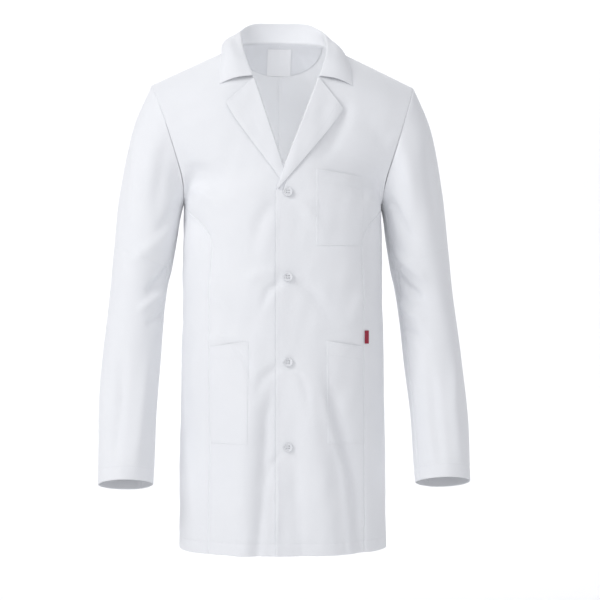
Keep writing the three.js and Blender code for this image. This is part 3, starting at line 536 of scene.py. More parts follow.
def twill(name, light, dark, pitch=TWILL_PITCH, strength=0.35):
    finish = Finish(name, Roughness=0.82, Sheen_Weight=0.25, Sheen_Roughness=0.5, Specular_IOR_Level=0.25)
    uv = finish.node("ShaderNodeTexCoord", output="UV")
    across = finish.node("ShaderNodeSeparateXYZ", output="X", Vector=uv)
    along = finish.node("ShaderNodeSeparateXYZ", output="Y", Vector=uv)
    turns = 2 * math.pi / pitch
    ribs = (across * turns + along * (turns * 1.25)).math("SINE")
    yarns = (across * (turns * 2)).math("SINE") * (along * (turns * 2)).math("SINE")
    slubs = finish.node("ShaderNodeTexNoise", Vector=uv, Scale=900.0, Detail=3.0)
    creases = finish.node("ShaderNodeTexNoise", Vector=uv, Scale=55.0, Detail=4.0, Roughness=0.6)
    clouds = finish.node("ShaderNodeTexNoise", Vector=uv, Scale=9.0, Detail=3.0)
    height = ribs * 0.3 + yarns * 0.2 + slubs * 0.5 + creases * 2.2
    bump = finish.node("ShaderNodeBump", Height=height, Distance=0.00018, Strength=strength)
    tone = clouds * 0.7 + slubs * 0.3
    colour = finish.ramp(tone, [(0.3, dark), (0.7, light)])
    return finish.surface(Base_Color=colour, Normal=bump, Roughness=slubs * 0.16 + 0.74)


COAT_CLOTH = twill("white_twill", (0.875, 0.885, 0.905), (0.845, 0.857, 0.882))
# A darker, bluer copy of the same twill: painted shade for the inside of the coat, the facings, the neck
# facing and the undersides of the collar and the lapels.
PAINTED_SHADE_CLOTH = twill("white_twill_painted_shade", (0.800, 0.812, 0.842), (0.770, 0.783, 0.815))
LABEL_CLOTH = twill("label_satin", (0.896, 0.902, 0.918), (0.851, 0.857, 0.879), pitch=0.0004, strength=0.15)
TAB_CLOTH = twill("red_ribbon", (0.390, 0.030, 0.060), (0.300, 0.022, 0.045), pitch=0.0007, strength=0.5)


def sewing_thread():
    finish = Finish("white_thread", Roughness=0.6, Sheen_Weight=0.2)
    place = finish.node("ShaderNodeTexCoord", output="Object")
    twist = finish.node("ShaderNodeTexNoise", Vector=place, Scale=2600.0, Detail=2.0)
    bump = finish.node("ShaderNodeBump", Height=twist, Distance=0.0001, Strength=0.5)
    colour = finish.ramp(twist, [(0.3, (0.72, 0.73, 0.76)), (0.7, (0.84, 0.85, 0.88))])
    return finish.surface(Base_Color=colour, Normal=bump)


def button_resin():
    finish = Finish("white_resin", Coat_Weight=0.35, Coat_Roughness=0.12, Roughness=0.3)
    place = finish.node("ShaderNodeTexCoord", output="Object")
    clouds = finish.node("ShaderNodeTexNoise", Vector=place, Scale=240.0, Detail=3.0)
    wear = finish.node("ShaderNodeTexNoise", Vector=place, Scale=1400.0, Detail=4.0)
    colour = finish.ramp(clouds, [(0.35, (0.72, 0.735, 0.76)), (0.65, (0.82, 0.83, 0.85))])
    bump = finish.node("ShaderNodeBump", Height=wear, Distance=0.00005, Strength=0.25)
    return finish.surface(Base_Color=colour, Normal=bump, Roughness=wear * 0.2 + 0.22)


THREAD = sewing_thread()
RESIN = button_resin()
print("materials", len(bpy.data.materials))

# %% [markdown]
# ## Seams and stitched edges
# Where two panels are sewn, the cloth dips into the seam and puckers a little beside it, because the
# thread is tighter than the cloth. A free edge is turned in and stitched down a few millimetres from
# it, which leaves a shallow groove. Both are worked out from the distance to the panel's edge.

# %% Seams and stitched edges
SEAM_DEPTH = 0.0011
STITCH_INSET = 0.0045
PUCKER = 0.00024


def relief(grid, first_edge, last_edge, seed=1):
    """How the cloth dips and puckers beside the first and the last column of a panel."""
    across, along = arc_lengths(grid, 1), arc_lengths(grid, 0)
    total = across[:, -1:]
    height = np.zeros_like(across)
    for kind, distance, turn in ((first_edge, across, 0.0), (last_edge, total - across, 1.7)):
        ripple = np.sin(along / 0.0024 + 2.2 * np.sin(along / 0.013 + seed) + turn + seed)
        if kind == "seam":
            height -= SEAM_DEPTH * np.exp(-(distance / 0.0014) ** 2)
            height += PUCKER * np.exp(-distance / 0.007) * ripple
        if kind == "stitched":
            height -= 0.00035 * np.exp(-((distance - STITCH_INSET) / 0.0010) ** 2)
            height += 0.6 * PUCKER * np.exp(-distance / 0.006) * ripple
    return height


def hem_relief(point):
    above_hem = point[..., 2] - HEM_Z
    groove = -0.0005 * np.exp(-((above_hem - HEM_DEPTH) / 0.0016) ** 2)
    ripple = np.sin(point[..., 0] / 0.0027 + 1.9 * np.sin(point[..., 0] / 0.015))
    return groove + PUCKER * ripple * np.exp(-(above_hem - HEM_DEPTH) ** 2 / 0.012 ** 2)


def grid_normals(grid, towards=None):
    across, along = np.gradient(grid, axis=1), np.gradient(grid, axis=0)
    normal = unit(np.cross(across, along))
    if towards is not None:
        normal *= np.sign(np.sum(normal * towards, axis=-1, keepdims=True))
    return normal


# %% [markdown]
# ## Topstitching
# Each stitch is modelled, because a stitched line on white cloth shows only by the small shadow of
# every stitch. One stitch is a bar of four sides whose ends go down into the cloth. It has a dozen
# points, so that the thousands of stitches of a coat stay light.

# %% Topstitching
STITCH_PITCH = 0.0033
STITCH_RADIUS = 0.00022


def stitches(path, normals, pitch=STITCH_PITCH, radius=STITCH_RADIUS):
    """The points and faces of a row of stitches along a path."""
    lengths = np.concatenate([[0], np.cumsum(np.linalg.norm(np.diff(path, axis=0), axis=1))])
    count = max(1, int(lengths[-1] / pitch))
    points, faces = [], []
    for number in range(count):
        places = (number + np.array([0.12, 0.5, 0.88])) * lengths[-1] / count
        centre = np.stack([np.interp(places, lengths, path[:, k]) for k in range(3)], axis=-1)
        up = unit(np.stack([np.interp(places, lengths, normals[:, k]) for k in range(3)], axis=-1))
        run = unit(centre[2] - centre[0])
        beside = np.cross(up[1], run)
        first = len(points)
        for place, (rise, size) in enumerate(((-0.7, 0.5), (0.45, 1.0), (-0.7, 0.5))):
            middle = centre[place] + up[place] * radius * rise
            for x, z in ((1, 0), (0, 1), (-1, 0), (0, -1)):
                points.append(middle + (beside * x + up[1] * z) * radius * size)
        for ring in (0, 4):
            for k in range(4):
                a, b = first + ring + k, first + ring + (k + 1) % 4
                faces.append((a, b, b + 4, a + 4))
        faces.append((first + 3, first + 2, first + 1, first))
        faces.append((first + 8, first + 9, first + 10, first + 11))
    return points, faces


def stitched_rows(name, rows, **sizes):
    points, faces = [], []
    for path, normals in rows:
        more, quads = stitches(path, normals, **sizes)
        faces.extend(tuple(k + len(points) for k in quad) for quad in quads)
        points.extend(more)
    points = np.array(points)
    made = new_mesh(name, points, faces, points[:, [0, 2]], THREAD)
    facing_out(made)
    return made


def only(made):
    bpy.ops.object.select_all(action="DESELECT")
    made.select_set(True)
    bpy.context.view_layer.objects.active = made


def facing_out(made):
    only(made)
    bpy.ops.object.mode_set(mode="EDIT")
    bpy.ops.mesh.select_all(action="SELECT")
    bpy.ops.mesh.normals_make_consistent(inside=False)
    bpy.ops.object.mode_set(mode="OBJECT")


def row_near(grid, distance, from_end=False):
    """The row of a grid that lies nearest to a distance from its first or last row."""
    along = arc_lengths(grid, 0).mean(axis=1)
    wanted = along[-1] - distance if from_end else distance
    return int(np.argmin(np.abs(along - wanted)))


def column_near(grid, distance, from_end=False):
    across = arc_lengths(grid, 1)[: max(2, len(grid) // 2)].mean(axis=0)
    wanted = across[-1] - distance if from_end else distance
    return int(np.argmin(np.abs(across - wanted)))


# %% [markdown]
# ## How the pieces move
# The left front opens below its top button. In the frame it is cut there, because a rigid body has to
# hinge somewhere. The cloth itself is in one length. Here the left front's pieces stay where they are
# made, and the others are hung on the root's body.


def with_left_front(made):
    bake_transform(made)


def with_root(made):
    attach(made, "root")


def finish_cloth(made, base, moves, nodes=()):
    size, area = flat_size(base)
    moves(made)
    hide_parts(*nodes)
    print(made.name, "cut", f"{size[0]:.3f} x {size[1]:.3f} m", "area", round(area, 4))
    return made


# %% [markdown]
# ## The body panels
# A fitted coat's body has two fronts, two side panels and two back panels. The left front lies over
# the right one. All of them follow the same surface and the same folds, so the cloth runs on across
# each seam, and only the seam itself dips.

# %% The body panels
HEM_RISES = HEM_Z - ARMPIT_Z + np.array([0, 0.0008, 0.002, 0.005, 0.009, 0.013, 0.017, 0.0185, 0.020, 0.0215])
LOW_RISES = np.concatenate([HEM_RISES, np.arange(HEM_RISES[-1] + 0.003, -0.0025, STEP)])
ARMHOLE_RISES = ARMHOLE_HEIGHT * (1 - np.cos(math.pi * np.linspace(0, 1, 76))) / 2
FULL_RISES = np.concatenate([LOW_RISES, ARMHOLE_RISES])
SIDE_RISES = np.append(LOW_RISES, -0.0012)


def front_to(rise):
    return np.where(rise < 0, seam_angle(rise, SIDE_SEAM_ANGLE), HALF_TURN)


def back_from(rise):
    return np.where(rise < 0, seam_angle(rise, BACK_SEAM_ANGLE), HALF_TURN)


def panel_grid(side, from_angle, to_angle, rises, width, lift, edges, inset=0.0):
    """The base surface, its normals and the draped outside of a panel, rows by columns."""
    shares = steps_along(width)
    rise = rises[:, None]
    angle = mix(from_angle(rises)[:, None], to_angle(rises)[:, None], shares[None, :])
    base, normal = body_point(angle, rise), body_normal(angle, rise)
    lifted = lift(base[..., 0])
    if side == "right":
        base, normal = mirrored(base), mirrored(normal)
    height = lifted + drape(base, rise + 0 * angle) + relief(base, *edges) + hem_relief(base) - inset
    return base, normal, base + normal * height[..., None]


def cloth_thickness(grid, thickness=CLOTH):
    """Double at the hem, where the cloth is turned up."""
    return thickness + 0.0008 * smooth((HEM_Z + HEM_DEPTH + 0.0006 - grid[..., 2]) / 0.0012)


def panel(name, skins, material, moves, nodes, thickness=CLOTH):
    base, normal, outer = skins
    inner = outer - normal * cloth_thickness(base, thickness)[..., None]
    made = cloth_piece(name, outer, inner, material)
    return finish_cloth(made, base, moves, nodes)


VISIBLE_LIFT = 0.0032


def over_right_front(x):
    return left_lift(x) * VISIBLE_LIFT / LAYER_LIFT


FRONT_EDGES = ("stitched", "seam")
front_skins = {
    "left": panel_grid("left", left_edge, front_to, FULL_RISES, 0.17, over_right_front, FRONT_EDGES),
    "right": panel_grid("right", right_edge, front_to, FULL_RISES, 0.17, no_lift, FRONT_EDGES),
}
left_nodes = ("front_left_chest", "front_left_skirt")
panel("cloth_front_left", front_skins["left"], COAT_CLOTH, with_left_front, left_nodes)
panel("cloth_front_right", front_skins["right"], COAT_CLOTH, with_root, ("front_right",))

side_skins, back_skins = {}, {}
for side in ("left", "right"):
    side_skins[side] = panel_grid(
        side, lambda rise: seam_angle(rise, SIDE_SEAM_ANGLE), lambda rise: seam_angle(rise, BACK_SEAM_ANGLE),
        SIDE_RISES, 0.22, no_lift, ("seam", "seam"))
    back_skins[side] = panel_grid(
        side, back_from, lambda rise: np.full_like(rise, math.pi), FULL_RISES, 0.15, no_lift,
        ("seam", "seam"))
    for part, skins, node in (("side", side_skins, "side_panel"), ("back", back_skins, "back")):
        panel(f"cloth_{part}_{side}", skins[side], COAT_CLOTH, with_root, (f"{node}_{side}",))

# %% [markdown]
# ## Facings
# A facing is a second layer inside each front edge. It stiffens the edge for the buttons, and above
# the top button it turns outwards and becomes the face of the lapel. A half moon of the same cloth
# finishes the inside of the back neck, and a blank woven label is sewn to it. The facings and the half
# moon are given a darker, bluer copy of the twill, which is painted shade.

# %% Facings
LAYER_GAP = 0.0004
FACING_CLOTH = 0.0007


def facing_to(rise):
    x = np.zeros_like(rise)
    for _ in range(12):
        z = height_at(x, rise, np.zeros_like(rise, bool))
        x = np.interp(z, [BREAK_Z, ROLL_TOP[1], 0.0], [FACING_WIDTH - OVERLAP, 0.092, 0.108])
    return angle_at(x, rise)


def facing(side, edge, lift, moves, nodes):
    skins = panel_grid(
        side, edge, facing_to, FULL_RISES, 0.085, lift, ("stitched", "free"), CLOTH + LAYER_GAP)
    panel(f"cloth_facing_{side}", skins, PAINTED_SHADE_CLOTH, moves, nodes, FACING_CLOTH)


facing("left", left_edge, over_right_front, with_left_front, ("facing_left_chest", "facing_left_skirt"))
facing("right", right_edge, no_lift, with_root, ("facing_right",))


def on_back(x, z, offset):
    neck = np.sqrt(np.clip(1 - (x / NECK_X) ** 2, 0, 1))
    slope = -SHOULDER_SLOPE * (np.abs(x) - NECK_X)
    top = np.where(np.abs(x) < NECK_X, BACK_NECK_RISE * neck, slope)
    rise = np.clip((z - ARMPIT_Z) / (top - ARMPIT_Z), 0, 1) * ARMHOLE_HEIGHT
    angle = math.pi - angle_at(x, rise)
    base = body_point(angle, rise)
    return base + body_normal(angle, rise) * (offset + drape(base, rise))[..., None]


def inside_back_patch(name, left, right, low, high, depth, thickness, columns, rows, material):
    """A layer inside the back, between two heights that may change with x."""
    x = mix(left, right, steps_along(right - left, (right - left) / columns))[None, :]
    z = mix(low(x), high(x), np.linspace(0, 1, rows)[:, None])
    x = x + 0 * z
    outer = on_back(x, z, -depth - 0 * x)
    inner = on_back(x, z, -depth - thickness - 0 * x)
    return cloth_piece(name, outer, inner, material), outer, inner


MOON_REACH = NECK_X - 0.009


def moon_low(x):
    return BACK_NECK_RISE - 0.004 - 0.052 * np.sqrt(np.clip(1 - (x / MOON_REACH) ** 2, 0, 1)) ** 0.8


def neckline(x):
    return BACK_NECK_RISE * np.sqrt(np.clip(1 - (x / NECK_X) ** 2, 0, 1)) - 0.0005


moon, moon_outer, moon_inner = inside_back_patch(
    "cloth_neck_facing", -MOON_REACH + 0.001, MOON_REACH - 0.001, moon_low, neckline,
    CLOTH + LAYER_GAP, FACING_CLOTH, 60, 18, PAINTED_SHADE_CLOTH)
finish_cloth(moon, moon_outer, with_root, ("back_neck_facing",))

LABEL_WIDTH, LABEL_HEIGHT = 0.043, 0.046
label_low = BACK_NECK_RISE - 0.009 - LABEL_HEIGHT
label, label_outer, label_inner = inside_back_patch(
    "cloth_label", -LABEL_WIDTH / 2, LABEL_WIDTH / 2, lambda x: label_low + 0 * x,
    lambda x: label_low + LABEL_HEIGHT + 0 * x, CLOTH + FACING_CLOTH + 2.5 * LAYER_GAP, 0.0005, 30, 30,
    LABEL_CLOTH)
finish_cloth(label, label_outer, with_root, ("neck_label",))

# %% [markdown]
# ## The collar
# A collar has a stand, which goes up from the neck seam, and a leaf, which falls over it from the fold.
# Both layers, the top collar and the under collar, follow one smooth profile: up the stand, round a
# soft roll and down the leaf. The profile changes along the collar, from nothing where it meets the
# lapel to its full height at the back.

# %% Curves through points
def neighbours(points, share):
    """The four points round each share of the way along, and how far it is between the middle two."""
    points = np.asarray(points, float)
    ends = [2 * points[:1] - points[1:2], 2 * points[-1:] - points[-2:-1]]
    extended = np.concatenate([ends[0], points, ends[1]])
    place = np.clip(share, 0, 1) * (len(points) - 1)
    first = np.minimum(place.astype(int), len(points) - 2)
    t = (place - first).reshape(place.shape + (1,) * (points.ndim - 1))
    return *(extended[first + k] for k in range(4)), t


def cubic_between(b, c, leave, arrive, t):
    """From b to c, with the given directions at both ends."""
    cubic = 2 * b - 2 * c + leave + arrive
    square = -3 * b + 3 * c - 2 * leave - arrive
    return b + leave * t + square * t ** 2 + cubic * t ** 3


def curve_through(points, share):
    """A smooth curve through points, whose first axis is the one along the curve."""
    a, b, c, d, t = neighbours(points, share)
    gap = [np.maximum(np.linalg.norm(q - p, axis=-1, keepdims=True), 1e-5) ** 0.5
           for p, q in ((a, b), (b, c), (c, d))]
    leave = ((b - a) / gap[0] - (c - a) / (gap[0] + gap[1]) + (c - b) / gap[1]) * gap[1]
    arrive = ((c - b) / gap[1] - (d - b) / (gap[1] + gap[2]) + (d - c) / gap[2]) * gap[1]
    return cubic_between(b, c, leave, arrive, t)


def on_front(x, z, offset):
    rise, base, normal = front_surface(x, z)
    return base + normal * np.broadcast_to(offset, rise.shape)[..., None]


def shoulder_point(x, share, back, offset=0.0019):
    rise = np.array(share * ARMHOLE_HEIGHT)
    angle = angle_at(np.array(x), rise)
    angle = math.pi - angle if back else angle
    return body_point(angle, rise) + body_normal(angle, rise) * offset


# %% [markdown]
# Two lines give the collar its shape: the fold, which stands up round the neck, and the leaf's free
# edge, which lies on the shoulders. Half of each is given and mirrored. The leaf bellies out between
# them, more on one side, because a worn collar never lies quite even.

# %% The collar
half_fold = np.array([
    on_front(ROLL_TOP[0], ROLL_TOP[1] + 0.001, 0.0025),
    on_front(front_edge_x(np.array(-0.026)), -0.026, 0.006) + np.array([-0.005, 0, 0.002]),
    (0.072, -0.022, 0.012),
    (0.069, 0.028, 0.032),
    (0.046, 0.064, 0.050),
    (0.0, 0.077, 0.053),
])
half_edge = np.array([
    on_front(0.112, -0.075, 0.0020),
    shoulder_point(0.110, 0.88, False),
    shoulder_point(0.106, 0.985, False),
    shoulder_point(0.101, 0.985, True),
    shoulder_point(0.077, 0.955, True),
    shoulder_point(0.037, 0.95, True),
    shoulder_point(0.0, 0.95, True),
])


def whole(half_points):
    return np.concatenate([half_points, mirrored(half_points[-2::-1])])


def neck_seam(around):
    half = 1 - np.abs(2 * around - 1)
    z = mix(ROLL_TOP[1], 0.0, np.clip(half / 0.4, 0, 1))
    front = on_front(front_edge_x(z), z, -CLOTH / 2)
    turn = np.clip((half - 0.4) / 0.6, 0, 1) * HALF_TURN
    back = np.stack([
        NECK_X * np.cos(turn), BACK_NECK_DEPTH * np.sin(turn), BACK_NECK_RISE * np.sin(turn)], axis=-1)
    point = np.where((half < 0.4)[:, None], front, back)
    return np.where((around > 0.5)[:, None], mirrored(point), point)


COLLAR_COLUMNS, COLLAR_ROWS = 191, 46
COLLAR_MIDDLE = COLLAR_COLUMNS // 2
LEAF_ROW = COLLAR_ROWS // 2 + 12
FULLER_FROM = 0.58
BELLY, FULLER_BELLY = 0.0055, 0.0085
around = np.linspace(0, 1, COLLAR_COLUMNS)
fuller = np.sin(math.pi * np.clip((around - FULLER_FROM) / (1 - FULLER_FROM), 0, 1))
LEAF_BELLY = (BELLY + FULLER_BELLY * fuller)[:, None]
seam = neck_seam(around)
fold_line, edge_line = (curve_through(whole(half), around) for half in (half_fold, half_edge))
outward = unit(fold_line * np.array([1, 1, 0]))
belly_way = unit(outward + np.array([0, 0, 0.8]))
stand_height = np.linalg.norm(fold_line - seam, axis=-1, keepdims=True)
ROLL = np.minimum(0.0028, stand_height * 0.2)
up = np.array([0, 0, 1.0])
over = fold_line + outward * ROLL * 1.6
profile = np.stack([
    seam,
    mix(seam, fold_line, 0.45) - outward * 0.0006,
    mix(seam, fold_line, 0.85) - outward * 0.0003,
    fold_line + up * ROLL * 0.7 + outward * ROLL * 0.7,
    mix(over, edge_line, 0.12) + belly_way * LEAF_BELLY * 0.35,
    mix(over, edge_line, 0.38) + belly_way * LEAF_BELLY * 0.9,
    mix(over, edge_line, 0.70) + belly_way * LEAF_BELLY * 0.75,
    edge_line,
])
COLLAR_SHARES = np.concatenate([np.linspace(0, 0.97, COLLAR_ROWS - 4), [0.98, 0.99, 0.996, 1.0]])
collar_middle = curve_through(profile, COLLAR_SHARES)
collar_normal = grid_normals(collar_middle)
collar_normal *= np.sign(collar_normal[LEAF_ROW, COLLAR_MIDDLE][1])
collar_width = float(arc_lengths(collar_middle, 0)[-1, COLLAR_MIDDLE])
print("collar width at the back", round(collar_width, 4))


DOUBLED_CLOTH, LAYER_SPACE = 0.0008, 0.00005


def layer_pair(middle, normal, thickness):
    """The skins of the upper and the under layer of a doubled piece."""
    far = thickness + LAYER_SPACE
    upper = (middle + normal * far, middle + normal * LAYER_SPACE)
    under = (middle - normal * LAYER_SPACE, middle - normal * far)
    return upper, under


collar_wave = waves(around[None, :] * 0.5, COLLAR_SHARES[:, None] * 0.1, 21, 0.09, 0.0005)
collar_wave = collar_wave * smooth(COLLAR_SHARES / 0.5)[:, None]
collar_middle = collar_middle + collar_normal * collar_wave[..., None]
top_skins, under_skins = layer_pair(collar_middle, collar_normal, DOUBLED_CLOTH)
top_collar = cloth_piece("cloth_top_collar", *top_skins, COAT_CLOTH)
finish_cloth(top_collar, top_skins[0], with_root, ("top_collar", "collar_stand"))
# The under collar is made in the darker copy of the twill, which is painted shade under the leaf.
under_collar = cloth_piece("cloth_under_collar", *under_skins, PAINTED_SHADE_CLOTH)
finish_cloth(under_collar, under_skins[0], with_root, ("under_collar",))

# %% [markdown]
# ## The lapels
# A lapel isn't pressed flat. The front's edge rolls over in a soft turn of a few millimetres, and it
# lies down only towards its outer edge. The section of the turn is a half circle that starts inside
# the front, and the leaf goes on from it. Its tip is cut square, which with the collar makes the notch.

# %% The lapels
def roll_frame(overlap):
    """The roll line's directions, along it and across it outwards, and its length."""
    run = np.array([ROLL_TOP[0] + overlap, ROLL_TOP[1] - BREAK_Z])
    length = float(np.linalg.norm(run))
    along = run / length
    return along, np.array([along[1], -along[0]]), length


ROLL_RADIUS = 0.0021
TUCK = 0.010


def lapel_width(share):
    return LAPEL_WIDTH * ((1.06 * np.maximum(share, 1e-2)) ** -12 + 1) ** (-1 / 12)


def lapel_middle(side, start, lift, overlap):
    roll_along, roll_across, roll_length = roll_frame(overlap)
    share = np.concatenate([
        np.linspace(start, 0.955, 70), [0.965, 0.975, 0.982, 0.985]])[:, None]
    turn = np.linspace(-HALF_TURN, HALF_TURN, 11)
    radius = mix(0.0003, ROLL_RADIUS, smooth((share - 0.06) / 0.25))
    leaf = steps_along(LAPEL_WIDTH, 0.0025)[1:]
    width = lapel_width(share)
    tuck = np.full_like(share, TUCK)
    out = np.concatenate([tuck, tuck / 2, -radius * np.cos(turn), width * leaf], axis=1)
    lying = radius * np.exp(-width * leaf / 0.020) + 0.0016 * np.sin(math.pi * leaf) * radius / ROLL_RADIUS
    lying = lying + 0.0020 * smooth((leaf - 0.45) / 0.55) * smooth((share - 0.1) / 0.6)
    height = np.concatenate([-radius, -radius, radius * np.sin(turn), lying + 0.0011], axis=1)
    height[:, 2:13] += 0.0011 * smooth((np.sin(turn) + 1) / 2)
    across = np.clip(out / width, 0, 1)
    along = share * mix(roll_length, LAPEL_LENGTH, across)
    x = -overlap + roll_along[0] * along + roll_across[0] * out
    z = BREAK_Z + roll_along[1] * along + roll_across[1] * out
    rise, base, normal = front_surface(x, z)
    lifted = lift(x) + height
    if side == "right":
        base, normal = mirrored(base), mirrored(normal)
    lifted = lifted + drape(base, rise)
    return base + normal * lifted[..., None], normal


def lapel(side, start, lift, overlap):
    middle, away = lapel_middle(side, start, lift, overlap)
    normal = grid_normals(middle)
    normal *= np.sign(np.sum(normal[30, -5] * away[30, -5]))
    upper, under = layer_pair(middle, normal, DOUBLED_CLOTH)

    def moves(piece):
        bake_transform(piece)

    # The lapels' under layers are made in the darker copy of the twill, which is painted shade under the
    # lapel.
    pieces = (("top", upper, COAT_CLOTH, "coat_cloth"), ("under", under, PAINTED_SHADE_CLOTH, "inside_cloth"))
    for layer, skins, material, slot in pieces:
        made = cloth_piece(f"cloth_lapel_{side}_{layer}", *skins, material)
        finish_cloth(made, skins[0], moves, (f"lapel_{side}_{layer}",))
    column = column_near(upper[0], STITCH_INSET, True)
    rows = [(upper[0][:, column], normal[:, column])]
    top_row = row_near(upper[0][:, 20:], STITCH_INSET, True)
    rows.append((upper[0][top_row, 16:-4], normal[top_row, 16:-4]))
    moves(stitched_rows(f"stitching_lapel_{side}", rows))


lapel("left", 0.03, over_right_front, OVERLAP)
lapel("right", 0.10, no_lift, UNDER_OVERLAP)

# %% [markdown]
# ## Patch pockets
# A patch pocket is a plain piece of cloth, sewn down on three sides. Its mouth is turned in and
# stitched twice, and it stands a little open because a pocket is cut slightly wider than its place.

# %% Patch pockets
POCKET_CLOTH = 0.00042
MOUTH_HEM = 0.021
POCKET_INSET = 0.0026


def seam_x(z):
    rise = z - ARMPIT_Z
    return body_point(seam_angle(rise, SIDE_SEAM_ANGLE), rise)[..., 0]


def pocket(name, side, inner_x, outer_x, mouth, drop, depth, gape, lift, moves, nodes):
    shares = steps_along(0.075, 0.003)
    ups = steps_along(depth, 0.0035, (0.0006, 0.0015, 0.003, 0.006))
    across = shares[None, :]
    z = mix(mouth - depth, mouth - drop * across, ups[:, None])
    x = mix(inner_x, outer_x(z), across)
    rise, base, normal = front_surface(x, z)
    lifted = lift(x)
    if side == "right":
        base, normal = mirrored(base), mirrored(normal)
    open_up = np.sin(math.pi * across) ** 0.8 * smooth((ups[:, None] - 0.25) / 0.75) ** 1.5
    edge = np.minimum(arc_lengths(base, 1), arc_lengths(base, 1)[:, -1:] - arc_lengths(base, 1))
    sewn = 0.00052 + 0.0002 * smooth(edge / 0.012)
    hem = -0.0004 * np.exp(-((z - (mouth - drop * across) + MOUTH_HEM) / 0.0014) ** 2)
    height = lifted + drape(base, rise) + sewn + hem + gape * open_up
    height = height + 0.4 * relief(base, "stitched", "stitched", 4)
    outer = base + normal * height[..., None]
    inner = outer - normal * POCKET_CLOTH
    made = cloth_piece(name, outer, inner, COAT_CLOTH)
    finish_cloth(made, base, moves, nodes)
    normals = grid_normals(outer, normal)
    columns = [column_near(outer, POCKET_INSET, from_end) for from_end in (False, True)]
    rows = [(outer[:, k], normals[:, k]) for k in columns]
    for inset, from_end in ((0.003, False), (0.0035, True), (MOUTH_HEM, True)):
        row = row_near(outer, inset, from_end)
        rows.append((outer[row, 3:-3], normals[row, 3:-3]))
    moves(stitched_rows(name.replace("cloth", "stitching"), rows))


def to_seam(z):
    return seam_x(z) - 0.0022


HIP_MOUTH_Z = ARMPIT_Z - 0.236
pocket("cloth_chest_pocket", "left", 0.048, lambda z: 0.130 + 0 * z, ARMPIT_Z + 0.053, 0.010, 0.128, 0.0012,
       over_right_front, with_left_front, ("chest_pocket",))
pocket("cloth_hip_pocket_left", "left", 0.066, to_seam, HIP_MOUTH_Z, 0.010, 0.172, 0.0018,
       over_right_front, with_left_front, ("hip_pocket_left",))
pocket("cloth_hip_pocket_right", "right", 0.066, to_seam, HIP_MOUTH_Z, 0.010, 0.172, 0.0018,
       no_lift, with_root, ("hip_pocket_right",))

# %% [markdown]
# ## The side tab
# A short length of red ribbon is folded back on itself, so that both its ends are caught in the front
# seam. Its path goes out from the seam, round a tight turn and back. It is left plain.

# %% The side tab
TAB_Z, TAB_HEIGHT, TAB_WIDTH = HIP_MOUTH_Z + 0.006, 0.022, 0.008
RIBBON, TAB_TURN, TAB_GAP = 0.0004, 0.00035, 0.0016
tab_rise = TAB_Z + TAB_HEIGHT * (np.linspace(0, 1, 25)[:, None] - 0.5) - ARMPIT_Z
small_turn = 0.01
one_side, other_side = (body_point(SIDE_SEAM_ANGLE + turn, -0.2) for turn in (0, small_turn))
per_angle = np.linalg.norm(one_side - other_side) / small_turn
bend = np.linspace(-HALF_TURN, HALF_TURN, 9)
out, back = np.linspace(0, 0.9, 8), np.linspace(0.9, 0, 8)
out_and_back = np.concatenate([out, 1 + 0.04 * np.cos(bend), back])[None, :]
tab_height = np.concatenate([np.full(8, -1.0), np.sin(bend), np.full(8, 1.0)])[None, :] * TAB_TURN
tab_angle = SIDE_SEAM_ANGLE + (TAB_GAP + TAB_WIDTH * out_and_back) / per_angle + 0 * tab_rise
tab_base, tab_normal = body_point(tab_angle, tab_rise), body_normal(tab_angle, tab_rise + 0 * tab_angle)
tab_lift = drape(tab_base, tab_rise + 0 * tab_angle) + 0.0013 + tab_height + 0.0010 * out_and_back ** 2
tab_middle = tab_base + tab_normal * tab_lift[..., None]
tab_out = grid_normals(tab_middle)
tab_skins = (tab_middle + tab_out * RIBBON / 2, tab_middle - tab_out * RIBBON / 2)
tab = cloth_piece("ribbon_tab", *tab_skins, TAB_CLOTH)
finish_cloth(tab, tab_middle, lambda piece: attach(piece, "tab"), ("side_tab",))

# %% [markdown]
# ## Sleeves
# A coat sleeve is cut in two: a wide top sleeve and a narrow under sleeve, bent forwards at the elbow.
# Its rings are given from the armhole to the cuff, and a smooth curve runs through them. The first ring
# is the armhole's own edge, so the sleeve is sewn in without a gap. Each sleeve is made in an upper and
# a lower length, which meet where both follow the upper arm. There both thin out and lap over each
# other, so that the cloth looks unbroken.

# %% The sleeve's rings
ELBOW_Z = SHOULDER_Z - 0.364
CUFF_Z = SHOULDER_Z - 0.684
THIRD = (ELBOW_Z - CUFF_Z) / 3


def ring(out, width, inner_z, outer_z, front, rear, back, tilt):
    inner_x = CHEST_HALF_WIDTH + out
    depths = (ARMHOLE_FRONT_DEPTH + front, ARMHOLE_BACK_DEPTH + rear, back)
    return (inner_x, 0, inner_z), (inner_x + width, 0, outer_z), depths, (tilt, 0, 0)


RINGS = [
    ring(0, SHOULDER_X - CHEST_HALF_WIDTH, ARMPIT_Z, SHOULDER_Z, 0, 0, 0, 0),
    ring(0.005, 0.085, ARMPIT_Z - 0.023, SHOULDER_Z - 0.080, 0.003, 0.002, 0.002, 0),
    ring(0.011, 0.100, ARMPIT_Z - 0.063, SHOULDER_Z - 0.188, -0.002, -0.001, 0.006, 0),
    ring(0.021, 0.100, ARMPIT_Z - 0.113, SHOULDER_Z - 0.280, -0.009, -0.007, 0.010, 0),
    ring(0.031, 0.098, ELBOW_Z, ELBOW_Z, -0.015, -0.014, 0.010, 6),
    ring(0.040, 0.100, ELBOW_Z - THIRD, ELBOW_Z - THIRD, -0.019, -0.020, -0.014, 16),
    ring(0.047, 0.100, CUFF_Z + THIRD, CUFF_Z + THIRD, -0.022, -0.025, -0.045, 16),
    ring(0.052, 0.094, CUFF_Z, CUFF_Z, -0.025, -0.030, -0.075, 16),
]
LAST_RING = len(RINGS) - 1
MEETING_RING = 3


def even_curve(points, share):
    a, b, c, d, t = neighbours(points, share)
    return cubic_between(b, c, (c - a) / 2, (d - b) / 2, t)


